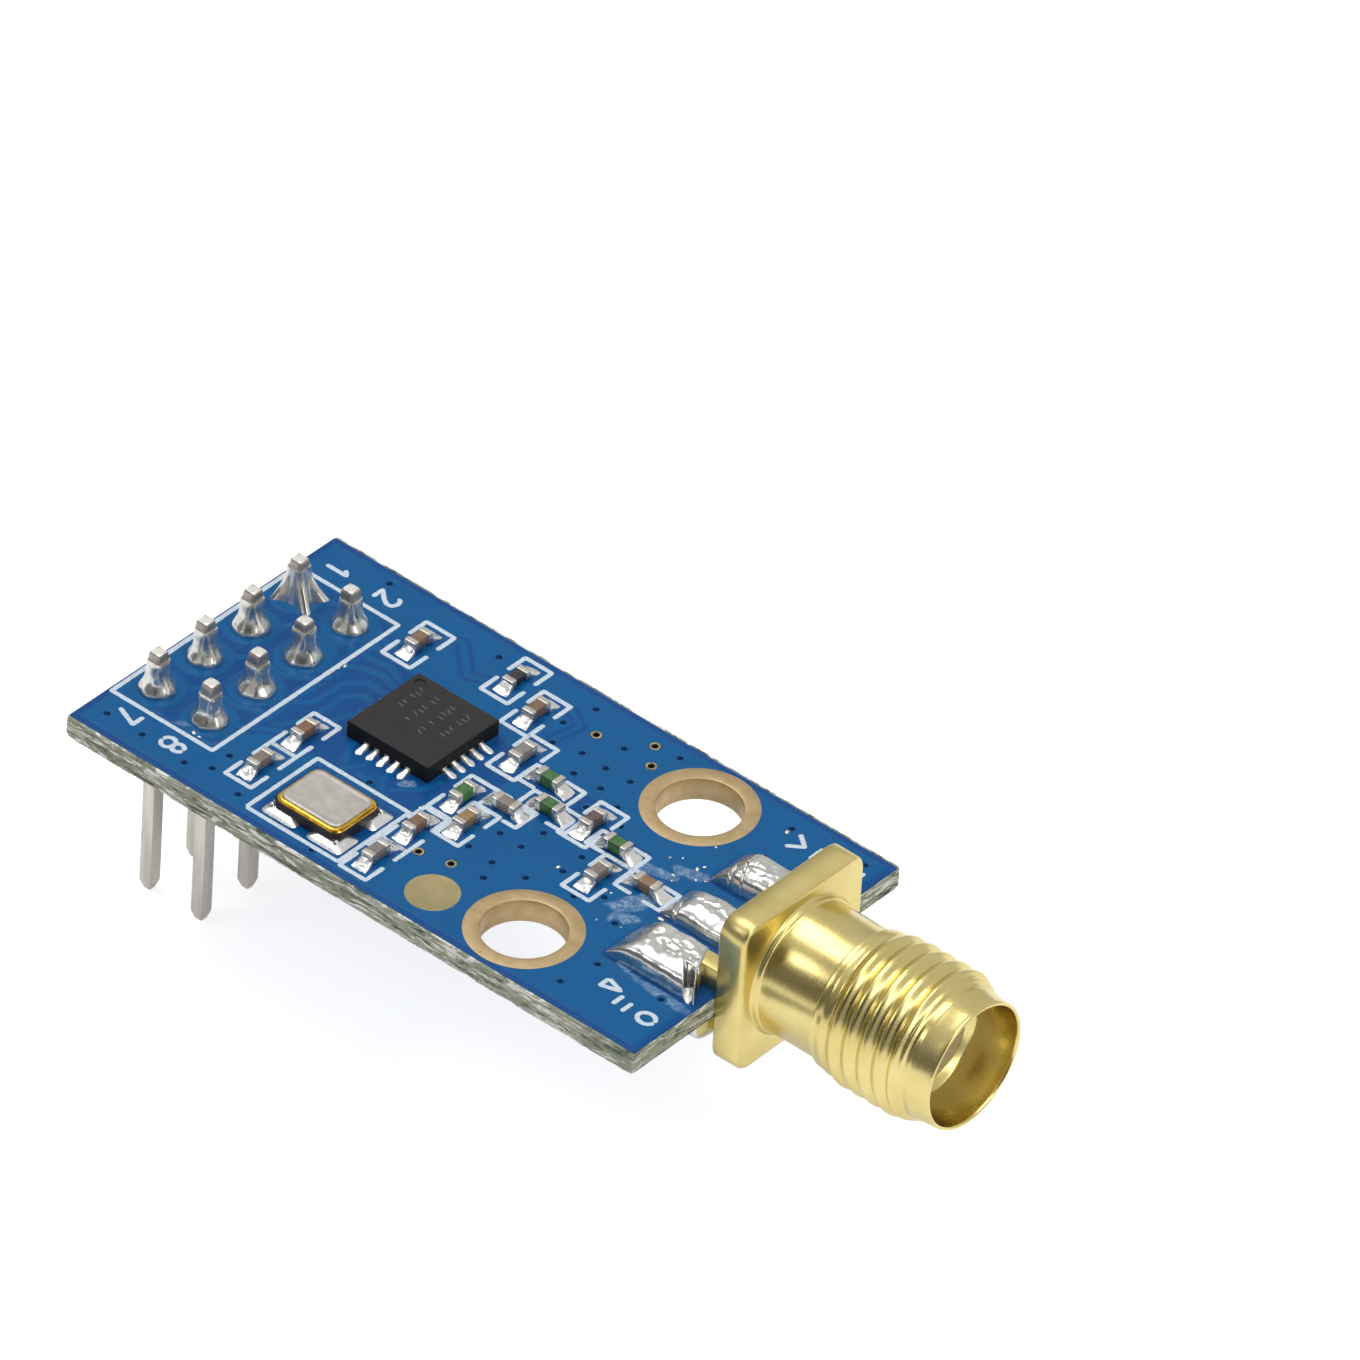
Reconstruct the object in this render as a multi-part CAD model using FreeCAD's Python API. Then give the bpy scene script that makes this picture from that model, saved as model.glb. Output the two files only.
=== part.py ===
import FreeCAD, Part
import math
import os

# Short-range radio transceiver module: a blue circuit board with a pin header
# at one end and an edge-mounted coaxial socket at the other.
# Frame: millimetres, origin on the underside of the board, midway between the
# two mounting holes, +X towards the coaxial socket, +Z up.

V = FreeCAD.Vector
os.makedirs("parts", exist_ok=True)

# Circuit board
board_width = 14.8
board_thickness = 0.9
board_corner_r = 0.15
holes_to_socket_end = 7.4
via_d = 0.3

# Mounting holes, plated through, with a bare land on each face
mount_hole_d = 3.2
mount_hole_inset = 2.58
mount_land_d = 4.45
barrel_wall = 0.05
land_thickness = 0.04

# Round ground pad beside the front mounting hole, placed from that hole
round_pad_d = 2.0
round_pad_dx = -3.7
round_pad_dy = -0.76

# Pin header: two rows of four square pins below the board
pin_pitch = 2.54
pin_rows = 2
pins_per_row = 4
header_centre_y = -0.07
outer_row_to_end = 1.35
inner_row_to_chip = 6.12
pin_side = 0.58
pin_above_board = 1.76
pin_below_housing = 6.3
pin_tip_length = 0.35
pin_tip_side = 0.34
pin_top_chamfer = 0.05
pin_hole_d = 1.02
housing_height = 2.1
housing_notch = 0.4
housing_clearance = 0.02

# Solder cone round each pin on the top face
cone_base_r = 0.72
cone_waist_r = 0.54
cone_top_r = 0.45
cone_height = 1.15

# Radio chip: square leadless package with five terminals on each side
chip_to_holes = 9.89
chip_y = 0.86
chip_side = 3.9
chip_height = 0.7
chip_edge_round = 0.06
chip_dot_d = 0.45
chip_dot_depth = 0.04
terminals_per_side = 5
terminal_pitch = 0.5
terminal_width = 0.25
terminal_length = 0.4
terminal_thickness = 0.2
paddle_side = 2.4
terminal_fillet_reach = 0.5
terminal_fillet_climb = 0.16
solder_film = 0.05

# Quartz crystal: ceramic base, gold seal ring, metal lid, placed from the chip
crystal_dx = 0.44
crystal_dy = -5.71
crystal_length = 3.15
crystal_width = 2.5
crystal_base_height = 0.46
crystal_corner_notch = 0.22
seal_ring_border = 0.05
seal_ring_wall = 0.38
seal_ring_height = 0.1
lid_border = 0.13
lid_thickness = 0.1
lid_corner_r = 0.18
crystal_pad_length = 1.25
crystal_pad_width = 1.2
crystal_pad_reach = 0.28
crystal_solder_climb = 0.22

# Chip parts: 1.0 x 0.5 mm ceramic blocks with metal end caps
part_length = 1.0
part_width = 0.5
capacitor_height = 0.45
inductor_height = 0.48
resistor_height = 0.33
end_cap_length = 0.24
end_cap_skin = 0.015
part_fillet_reach = 0.42
part_fillet_width = 0.6
part_fillet_climb = 0.3

# Coaxial socket: square flange, four legs, flared neck, threaded barrel, nose
socket_centre_y = 0.37
flange_side = 6.6
flange_thickness = 1.2
flange_corner_r = 0.75
flange_edge_round = 0.12
boss_d = 6.0
boss_length = 0.1
flare_length = 0.5
neck_d = 5.3
neck_length = 2.3
thread_d = 6.1
thread_length = 4.1
thread_chamfer = 0.3
nose_d = 5.15
nose_length = 1.15
nose_chamfer = 0.1
bore_d = 4.64
bore_depth = 2.1
insulator_d = 4.1
contact_d = 1.27
contact_clearance = 0.02
contact_bore_d = 0.94
contact_bore_depth = 2.6
contact_slot_width = 0.18
contact_slot_length = 1.9
contact_tail_d = 0.7
contact_tail_length = 3.2
leg_width = 0.74
leg_height = 0.93
leg_length = 3.2
leg_inset = 0.33
leg_play = 0.04

# Solder on the socket: a mound along each leg and one along the centre contact
ground_pad_lap = 0.55
ground_pad_width = 2.1
signal_pad_width = 1.6
mound_toe = 1.25
mound_cover = 0.1
mound_setback = 0.5
mound_waist_height = 0.35
mound_waist_inset = 0.62

# Places worked out from the sizes above
chip_x = -chip_to_holes
inner_row_x = chip_x - inner_row_to_chip
outer_row_x = inner_row_x - (pin_rows - 1) * pin_pitch
board_front = holes_to_socket_end
board_back = outer_row_x - outer_row_to_end
board_top = board_thickness
mount_hole_spacing = board_width - 2 * mount_hole_inset
crystal_x = chip_x + crystal_dx
crystal_y = chip_y + crystal_dy
socket_axis_z = board_top + contact_tail_d / 2
flange_back = board_front


def block(x0, y0, z0, x1, y1, z1):
    return Part.makeBox(x1 - x0, y1 - y0, z1 - z0, V(x0, y0, z0))


def centred_block(x, y, z0, length, width, height):
    return Part.makeBox(length, width, height, V(x - length / 2, y - width / 2, z0))


def upright(x, y, z0, z1, d):
    return Part.makeCylinder(d / 2, z1 - z0, V(x, y, z0), V(0, 0, 1))


def lying(x0, x1, d):
    return Part.makeCylinder(d / 2, x1 - x0, V(x0, socket_centre_y, socket_axis_z), V(1, 0, 0))


def rounded_plate(x, y, z0, length, width, height, r):
    plate = centred_block(x, y, z0, length, width, height)
    corners = [e for e in plate.Edges if abs(e.Vertexes[0].Z - e.Vertexes[1].Z) > height / 2]
    return plate.makeFillet(r, corners)


def face_of(points):
    return Part.Face(Part.makePolygon(points + [points[0]]))


def turned(edges, centre, axis):
    return Part.Face(Part.Wire(edges)).revolve(centre, axis, 360)


def save(shapes, node):
    whole = shapes[0] if len(shapes) == 1 else Part.makeCompound(shapes)
    whole.exportStep("parts/" + node + ".step")


# Mounting-hole plating: barrel and both lands are one piece of plated copper,
# let into the board so that each land lies flush with its face.
def plating(y):
    inner = mount_hole_d / 2
    wall = inner + barrel_wall
    land = mount_land_d / 2
    profile = [
        V(inner, 0, 0), V(land, 0, 0), V(land, 0, land_thickness), V(wall, 0, land_thickness),
        V(wall, 0, board_top - land_thickness), V(land, 0, board_top - land_thickness),
        V(land, 0, board_top), V(inner, 0, board_top),
    ]
    ring = face_of(profile).revolve(V(0, 0, 0), V(0, 0, 1), 360)
    ring.translate(V(0, y, 0))
    return ring


mount_front = plating(-mount_hole_spacing / 2)
mount_back = plating(mount_hole_spacing / 2)
save([mount_front], "mounting_ring_front")
save([mount_back], "mounting_ring_back")

round_pad = upright(
    round_pad_dx, round_pad_dy - mount_hole_spacing / 2, board_top - land_thickness, board_top, round_pad_d)
save([round_pad], "round_ground_pad")

# Pin positions, outer row first, each row from the back edge to the front.
pin_columns = []
for row in range(pin_rows):
    for place in range(pins_per_row):
        x = outer_row_x + pin_pitch * row
        y = header_centre_y + pin_pitch * ((pins_per_row - 1) / 2 - place)
        pin_columns.append((x, y))

# Open vias, placed from the centre of the radio chip.
via_places = [(4.49, 4.44), (6.44, 5.44), (7.09, 4.49), (5.59, -4.76), (4.29, -5.06)]

# Board: glass-epoxy plate with rounded corners and its drilled holes.
board_length = board_front - board_back
board = rounded_plate(
    (board_front + board_back) / 2, 0, 0, board_length, board_width, board_thickness, board_corner_r)
drilled = [upright(x, y, 0, board_top, pin_hole_d) for x, y in pin_columns]
drilled += [upright(chip_x + dx, chip_y + dy, 0, board_top, via_d) for dx, dy in via_places]
for y in (-mount_hole_spacing / 2, mount_hole_spacing / 2):
    drilled.append(upright(0, y, 0, board_top, mount_hole_d + 2 * barrel_wall))
    drilled.append(upright(0, y, 0, land_thickness, mount_land_d))
    drilled.append(upright(0, y, board_top - land_thickness, board_top, mount_land_d))
drilled.append(round_pad)
board = board.cut(drilled)
save([board], "circuit_board")


# Header pin: square wire with a tapered tip at each end.
def square_wire(x, y, z, side):
    h = side / 2
    return Part.makePolygon([
        V(x - h, y - h, z), V(x + h, y - h, z), V(x + h, y + h, z), V(x - h, y + h, z), V(x - h, y - h, z)])


def header_pin(x, y):
    bottom = -housing_height - pin_below_housing
    top = board_top + pin_above_board
    shank = centred_block(
        x, y, bottom + pin_tip_length, pin_side, pin_side, top - bottom - pin_tip_length - pin_top_chamfer)
    lower = Part.makeLoft(
        [square_wire(x, y, bottom, pin_tip_side), square_wire(x, y, bottom + pin_tip_length, pin_side)], True)
    upper = Part.makeLoft(
        [square_wire(x, y, top - pin_top_chamfer, pin_side),
         square_wire(x, y, top, pin_side - 2 * pin_top_chamfer)], True)
    return shank.fuse([lower, upper]).removeSplitter()


# Pins carry the numbers that the board prints beside them: odd numbers in the
# outer row, even numbers in the inner row, 1 and 2 at the back edge.
for i, (x, y) in enumerate(pin_columns):
    row, place = divmod(i, pins_per_row)
    save([header_pin(x, y)], "header_pin_%d" % (2 * place + row + 1))


# Header housing: a black bar against the underside of the board, with a
# vee notch on both long sides between one pair of pins and the next.
def header_housing():
    x0 = outer_row_x - pin_pitch / 2
    x1 = x0 + pin_rows * pin_pitch
    y0 = header_centre_y - pins_per_row * pin_pitch / 2
    near = []
    far = []
    for cell in range(pins_per_row):
        low = y0 + cell * pin_pitch
        high = low + pin_pitch
        near += [V(x0 + housing_notch, low, 0), V(x0, low + housing_notch, 0),
                 V(x0, high - housing_notch, 0)]
        far += [V(x1 - housing_notch, low, 0), V(x1, low + housing_notch, 0),
                V(x1, high - housing_notch, 0)]
    end = y0 + pins_per_row * pin_pitch
    near.append(V(x0 + housing_notch, end, 0))
    far.append(V(x1 - housing_notch, end, 0))
    bar = face_of(near + far[::-1]).extrude(V(0, 0, -housing_height))
    hole = pin_side + 2 * housing_clearance
    sockets = [centred_block(x, y, -housing_height, hole, hole, housing_height) for x, y in pin_columns]
    return bar.cut(sockets)


save([header_housing()], "header_housing")


# Solder round one pin: it fills the drilled hole and rises in a hollow cone.
def pin_solder(x, y):
    bore = pin_hole_d / 2
    foot = V(cone_base_r, 0, board_top)
    crown = V(cone_top_r, 0, board_top + cone_height)
    waist = V(cone_waist_r, 0, board_top + 0.36 * cone_height)
    edges = [
        Part.makeLine(V(0, 0, 0), V(bore, 0, 0)),
        Part.makeLine(V(bore, 0, 0), V(bore, 0, board_top)),
        Part.makeLine(V(bore, 0, board_top), foot),
        Part.Arc(foot, waist, crown).toShape(),
        Part.makeLine(crown, V(0, 0, board_top + cone_height)),
        Part.makeLine(V(0, 0, board_top + cone_height), V(0, 0, 0)),
    ]
    cone = turned(edges, V(0, 0, 0), V(0, 0, 1))
    cone.translate(V(x, y, 0))
    return cone.cut(centred_block(x, y, 0, pin_side, pin_side, board_top + cone_height))


save([pin_solder(x, y) for x, y in pin_columns], "header_solder")


# Radio chip. The terminals lie flush in the bottom edges of the moulding, and
# the square paddle lies flush in its underside.
chip_z = board_top + solder_film
half_chip = chip_side / 2


def around_chip(shape, quarter):
    turned_shape = shape.copy()
    turned_shape.rotate(V(chip_x, chip_y, 0), V(0, 0, 1), 90 * quarter)
    return turned_shape


leads = [centred_block(chip_x, chip_y, chip_z, paddle_side, paddle_side, terminal_thickness)]
lead_solder = [centred_block(chip_x, chip_y, board_top, paddle_side, paddle_side, solder_film)]
for n in range(terminals_per_side):
    along = (n - (terminals_per_side - 1) / 2) * terminal_pitch
    lead = block(
        chip_x + half_chip - terminal_length, chip_y + along - terminal_width / 2, chip_z,
        chip_x + half_chip, chip_y + along + terminal_width / 2, chip_z + terminal_thickness)
    edge = chip_x + half_chip
    toe = V(edge + terminal_fillet_reach, 0, board_top)
    crest = V(edge, 0, chip_z + terminal_fillet_climb)
    hollow = V(edge + 0.3 * terminal_fillet_reach, 0, board_top + 0.3 * (crest.z - board_top))
    heel = edge - terminal_length
    wedge = face_of([
        V(heel, 0, board_top), toe, hollow, crest, V(edge, 0, chip_z), V(heel, 0, chip_z),
    ]).extrude(V(0, terminal_width, 0))
    wedge.translate(V(0, chip_y + along - terminal_width / 2, 0))
    for quarter in range(4):
        leads.append(around_chip(lead, quarter))
        lead_solder.append(around_chip(wedge, quarter))
chip_body = centred_block(chip_x, chip_y, chip_z, chip_side, chip_side, chip_height)
chip_top = chip_z + chip_height
top_edges = [e for e in chip_body.Edges
             if abs(e.BoundBox.ZMin - chip_top) < chip_dot_depth and abs(e.BoundBox.ZMax - chip_top) < chip_dot_depth]
chip_body = chip_body.makeFillet(chip_edge_round, top_edges)
dot_inset = half_chip - chip_dot_d
chip_body = chip_body.cut(
    leads + [upright(chip_x - dot_inset, chip_y + dot_inset, chip_top - chip_dot_depth, chip_top, chip_dot_d)])
save([chip_body], "radio_chip")
save(leads, "radio_chip_terminals")
save(lead_solder, "radio_chip_solder")


# Quartz crystal: the ceramic base has a quarter-round notch at each corner.
# The gold ring is brazed to the base and the lid is welded to the ring.
crystal_z = board_top + solder_film
ring_z = crystal_z + crystal_base_height
lid_z = ring_z + seal_ring_height
ring_length = crystal_length - 2 * seal_ring_border
ring_width = crystal_width - 2 * seal_ring_border

base = centred_block(crystal_x, crystal_y, crystal_z, crystal_length, crystal_width, crystal_base_height)
base = base.cut([
    upright(crystal_x + i * crystal_length / 2, crystal_y + j * crystal_width / 2,
            crystal_z, ring_z, 2 * crystal_corner_notch)
    for i in (-1, 1) for j in (-1, 1)])
save([base], "crystal_base")

ring = rounded_plate(crystal_x, crystal_y, ring_z, ring_length, ring_width, seal_ring_height, lid_corner_r)
ring = ring.cut(centred_block(
    crystal_x, crystal_y, ring_z, ring_length - 2 * seal_ring_wall, ring_width - 2 * seal_ring_wall,
    seal_ring_height))
save([ring], "crystal_seal_ring")

lid = rounded_plate(
    crystal_x, crystal_y, lid_z, ring_length - 2 * lid_border, ring_width - 2 * lid_border,
    lid_thickness, lid_corner_r)
save([lid], "crystal_lid")


# Each corner of the crystal stands in a pool of solder that laps out past it.
def corner_pool(i, j):
    x1 = crystal_x + i * (crystal_length / 2 + crystal_pad_reach)
    y1 = crystal_y + j * (crystal_width / 2 + crystal_pad_reach)
    x0 = x1 - i * crystal_pad_length
    y0 = y1 - j * crystal_pad_width
    low = Part.makePolygon([
        V(x0, y0, board_top), V(x1, y0, board_top), V(x1, y1, board_top), V(x0, y1, board_top),
        V(x0, y0, board_top)])
    rise = crystal_z + crystal_solder_climb
    lap = 0.75 * crystal_pad_reach
    high = Part.makePolygon([
        V(x0, y0, rise), V(x1 - i * lap, y0, rise), V(x1 - i * lap, y1 - j * lap, rise),
        V(x0, y1 - j * lap, rise), V(x0, y0, rise)])
    pool = Part.makeLoft([low, high], True)
    return pool.cut(centred_block(
        crystal_x, crystal_y, crystal_z, crystal_length, crystal_width, crystal_base_height))


save([corner_pool(i, j) for i in (-1, 1) for j in (-1, 1)], "crystal_solder")


# Chip part, made lying along X at the origin, then turned and set in place.
# The block is clasped at both ends by a thin metal cap, and each cap stands in
# a hollow solder fillet.
def placed(shape, x, y, turn):
    moved = shape.copy()
    moved.rotate(V(0, 0, 0), V(0, 0, 1), turn)
    moved.translate(V(x, y, board_top))
    return moved


def ceramic_block(height):
    return centred_block(
        0, 0, solder_film + end_cap_skin, part_length - 2 * end_cap_skin, part_width - 2 * end_cap_skin,
        height - 2 * end_cap_skin)


def end_caps(height):
    caps = []
    for side in (-1, 1):
        cap = centred_block(
            side * (part_length - end_cap_length) / 2, 0, solder_film, end_cap_length, part_width, height)
        caps.append(cap.cut(ceramic_block(height)))
    return caps


def end_fillets(height):
    end = part_length / 2
    toe = V(end + part_fillet_reach, 0, 0)
    crest = V(end, 0, solder_film + part_fillet_climb)
    hollow = V(end + 0.32 * part_fillet_reach, 0, 0.36 * crest.z)
    inner = end - end_cap_length
    fillet = Part.Face(Part.Wire([
        Part.makeLine(V(inner, 0, 0), toe),
        Part.Arc(toe, hollow, crest).toShape(),
        Part.makeLine(crest, V(inner, 0, crest.z)),
        Part.makeLine(V(inner, 0, crest.z), V(inner, 0, 0)),
    ])).extrude(V(0, part_fillet_width, 0))
    fillet.translate(V(0, -part_fillet_width / 2, 0))
    side_slope = part_fillet_width / 2
    keep = Part.makeLoft([
        Part.makePolygon([V(x, y, 0) for x, y in (
            (inner, -side_slope), (toe.x, -side_slope), (toe.x, side_slope), (inner, side_slope),
            (inner, -side_slope))]),
        Part.makePolygon([V(x, y, crest.z) for x, y in (
            (inner, -part_width / 2), (toe.x, -part_width / 2), (toe.x, part_width / 2),
            (inner, part_width / 2), (inner, -part_width / 2))]),
    ], True)
    fillet = fillet.common(keep)
    fillet = fillet.cut(centred_block(0, 0, solder_film, part_length, part_width, height))
    other = fillet.copy()
    other.rotate(V(0, 0, 0), V(0, 0, 1), 180)
    return [fillet, other]


# Where each chip part lies: its name, its place from the centre of the radio
# chip, and its turn from the X axis.
chip_parts = {
    capacitor_height: [
        ("capacitor_1", -3.56, 3.79, 90), ("capacitor_2", 2.14, 3.79, 90),
        ("capacitor_3", 3.44, 1.58, 90), ("capacitor_4", -3.04, -3.01, 90),
        ("capacitor_5", -3.04, -5.41, 90), ("capacitor_6", 4.99, -1.06, 0),
        ("capacitor_7", 4.49, -2.7, 90), ("capacitor_8", 3.39, -4.18, 90),
        ("capacitor_9", 3.39, -6.36, 90), ("capacitor_10", 7.79, 0.46, 90),
        ("capacitor_11", 9.86, -1.64, 90), ("capacitor_12", 11.59, -0.91, 0),
    ],
    inductor_height: [
        ("inductor_1", 5.17, 1.11, 0), ("inductor_2", 3.43, -1.68, 90),
        ("inductor_3", 6.19, -0.06, 0), ("inductor_4", 9.39, 0, 0),
    ],
    resistor_height: [("resistor", 0.36, 4.74, 90)],
}
all_fillets = []
for height, group in chip_parts.items():
    group_caps = []
    for node, dx, dy, turn in group:
        x = chip_x + dx
        y = chip_y + dy
        save([placed(ceramic_block(height), x, y, turn)], node)
        group_caps += [placed(cap, x, y, turn) for cap in end_caps(height)]
        all_fillets += [placed(fillet, x, y, turn) for fillet in end_fillets(height)]
    save(group_caps, group[0][0].split("_")[0] + "_end_caps")
save(all_fillets, "chip_part_solder")


# Coaxial socket body: flange, legs, flared neck, threaded barrel and nose are
# turned and milled from one piece. The thread is a plain barrel here.
flare_start = flange_back + flange_thickness + boss_length
neck_start = flare_start + flare_length
thread_start = neck_start + neck_length
nose_start = thread_start + thread_length
mouth = nose_start + nose_length
insulator_face = mouth - bore_depth

flange = Part.makeBox(
    flange_thickness, flange_side, flange_side,
    V(flange_back, socket_centre_y - flange_side / 2, socket_axis_z - flange_side / 2))
flange = flange.makeFillet(flange_corner_r, [
    e for e in flange.Edges if abs(e.Vertexes[0].X - e.Vertexes[1].X) > flange_thickness / 2])
front_edges = [e for e in flange.Edges if e.BoundBox.XMin > flange_back + flange_thickness / 2]
flange = flange.makeFillet(flange_edge_round, front_edges)


def socket_leg(side, z0):
    y_out = socket_centre_y + side * (flange_side / 2 - leg_inset)
    y_in = y_out - side * leg_width
    return block(
        flange_back - leg_length, min(y_out, y_in), z0, flange_back + flange_thickness / 2,
        max(y_out, y_in), z0 + leg_height)


leg_floors = (board_top, -leg_play - leg_height)
legs = [socket_leg(side, z0) for z0 in leg_floors for side in (-1, 1)]
barrel_profile = [
    (flange_back + flange_thickness / 2, 0), (flange_back + flange_thickness / 2, boss_d / 2),
    (flare_start, boss_d / 2), (neck_start, neck_d / 2), (thread_start, neck_d / 2),
    (thread_start + thread_chamfer, thread_d / 2), (nose_start - thread_chamfer, thread_d / 2),
    (nose_start, nose_d / 2), (mouth - nose_chamfer, nose_d / 2), (mouth, nose_d / 2 - nose_chamfer),
    (mouth, 0),
]
barrel = face_of([V(x, socket_centre_y, socket_axis_z + r) for x, r in barrel_profile]).revolve(
    V(0, socket_centre_y, socket_axis_z), V(1, 0, 0), 360)
socket_body = flange.fuse([barrel] + legs).removeSplitter()
socket_body = socket_body.cut([lying(flange_back, insulator_face, insulator_d), lying(insulator_face, mouth, bore_d)])
save([socket_body], "socket_body")

# Insulator: a white plastic plug that holds the centre contact.
insulator = lying(flange_back, insulator_face, insulator_d)
insulator = insulator.cut(lying(flange_back, insulator_face, contact_d + 2 * contact_clearance))
save([insulator], "socket_insulator")

# Centre contact: a turned pin with a slotted socket in front and a thin tail
# that lies on the board behind the flange.
contact = lying(flange_back, insulator_face, contact_d)
contact = contact.fuse(lying(flange_back - contact_tail_length, flange_back, contact_tail_d))
slot_start = insulator_face - contact_slot_length
slots = [
    block(slot_start, socket_centre_y - contact_slot_width / 2, socket_axis_z - contact_d,
          insulator_face, socket_centre_y + contact_slot_width / 2, socket_axis_z + contact_d),
    block(slot_start, socket_centre_y - contact_d, socket_axis_z - contact_slot_width / 2,
          insulator_face, socket_centre_y + contact_d, socket_axis_z + contact_slot_width / 2),
]
contact = contact.cut([lying(insulator_face - contact_bore_depth, insulator_face, contact_bore_d)] + slots)
save([contact], "socket_centre_contact")


# Solder mound: it rises from its pad in hollow flanks to a flat crown that
# covers the leg or the tail, and stops short of the flange at the top.
def level_wire(x0, y0, x1, y1, z):
    return Part.makePolygon([V(x0, y0, z), V(x1, y0, z), V(x1, y1, z), V(x0, y1, z), V(x0, y0, z)])


def mound(pad, crown, face_z, rise, held):
    waist = [p + (c - p) * mound_waist_inset for p, c in zip(pad, crown)]
    levels = [
        level_wire(*pad, face_z),
        level_wire(*waist, face_z + rise * mound_waist_height),
        level_wire(*crown, face_z + rise),
    ]
    return Part.makeLoft(levels, True, True).cut(held)


def ground_mound(side, face_z, rise):
    leg_out = socket_centre_y + side * (flange_side / 2 - leg_inset)
    pad_out = side * (flange_side / 2 + ground_pad_lap)
    pad_in = pad_out - side * ground_pad_width
    crown_in = leg_out - side * (leg_width + mound_cover)
    toe_x = flange_back - leg_length - mound_toe
    pad = (toe_x, pad_out, flange_back, pad_in)
    crown = (flange_back - leg_length - mound_cover, leg_out - side * mound_cover,
             flange_back - mound_setback, crown_in)
    return mound(pad, crown, face_z, rise, [socket_body])


cover = leg_height + mound_cover
save([ground_mound(-1, board_top, cover)], "socket_solder_front")
save([ground_mound(1, board_top, cover)], "socket_solder_back")
save([ground_mound(side, 0, -cover - leg_play) for side in (-1, 1)], "socket_solder_under")

signal_pad = (
    flange_back - contact_tail_length - mound_toe, -signal_pad_width / 2, flange_back, signal_pad_width / 2)
signal_crown = (
    flange_back - contact_tail_length, socket_centre_y - contact_tail_d / 3,
    flange_back - mound_setback, socket_centre_y + contact_tail_d / 3)
save([mound(signal_pad, signal_crown, board_top, contact_tail_d + mound_cover, [contact])], "socket_solder_centre")
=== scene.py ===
"""The looks of an rf transceiver module: a small blue board with a gold antenna socket and eight pins."""
import math

import bmesh
import bpy
import numpy as np
from mathutils import Matrix, Vector, noise


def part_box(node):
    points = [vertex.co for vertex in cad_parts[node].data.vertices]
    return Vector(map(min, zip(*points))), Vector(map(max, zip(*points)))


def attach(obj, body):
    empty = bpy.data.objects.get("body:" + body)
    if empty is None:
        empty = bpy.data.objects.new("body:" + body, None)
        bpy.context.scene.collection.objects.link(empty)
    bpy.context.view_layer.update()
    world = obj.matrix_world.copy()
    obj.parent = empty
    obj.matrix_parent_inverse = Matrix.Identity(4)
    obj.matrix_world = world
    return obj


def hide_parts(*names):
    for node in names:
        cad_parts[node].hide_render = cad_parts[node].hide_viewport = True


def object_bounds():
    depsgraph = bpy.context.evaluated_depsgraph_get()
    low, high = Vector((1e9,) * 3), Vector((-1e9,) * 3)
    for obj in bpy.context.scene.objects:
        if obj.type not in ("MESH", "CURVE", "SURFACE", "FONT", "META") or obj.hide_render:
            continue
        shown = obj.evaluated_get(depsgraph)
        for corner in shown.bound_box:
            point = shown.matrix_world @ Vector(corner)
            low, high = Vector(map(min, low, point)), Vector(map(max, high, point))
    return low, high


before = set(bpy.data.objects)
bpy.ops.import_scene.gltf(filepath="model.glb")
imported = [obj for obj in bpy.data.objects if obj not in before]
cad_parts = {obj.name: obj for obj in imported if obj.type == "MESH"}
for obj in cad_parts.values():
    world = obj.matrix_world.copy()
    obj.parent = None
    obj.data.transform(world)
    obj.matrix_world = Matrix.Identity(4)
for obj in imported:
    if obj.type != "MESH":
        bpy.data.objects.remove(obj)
cad_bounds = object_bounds()


# Board core: a slab of woven glass in epoxy resin, cut out of its panel with a
# router. The cutter leaves the edge rough, with torn pale fibres between
# olive resin. The two faces are covered by solder mask in the next section.
mm = 0.001
noise.seed_set(7)


def paint(code):
    """A linear colour from an sRGB hex code."""
    channels = [int(code[i:i + 2], 16) / 255 for i in (1, 3, 5)]
    return [c / 12.92 if c <= 0.04045 else ((c + 0.055) / 1.055) ** 2.4 for c in channels] + [1.0]


def add(tree, kind, values=(), **settings):
    """Adds one node with its settings. Its inputs, named or in order, are numbers or links,
    and a whole node stands for its first output."""
    node = tree.nodes.new(kind)
    for key, value in settings.items():
        setattr(node, key, value)
    for key, value in (values.items() if isinstance(values, dict) else enumerate(values)):
        named = [s for s in node.inputs if key in (s.identifier, s.name)]
        socket = named[0] if named else node.inputs[key]
        if isinstance(value, bpy.types.Node):
            value = value.outputs[0]
        if isinstance(value, bpy.types.NodeSocket):
            tree.links.new(value, socket)
        else:
            socket.default_value = value
    return node


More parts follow.
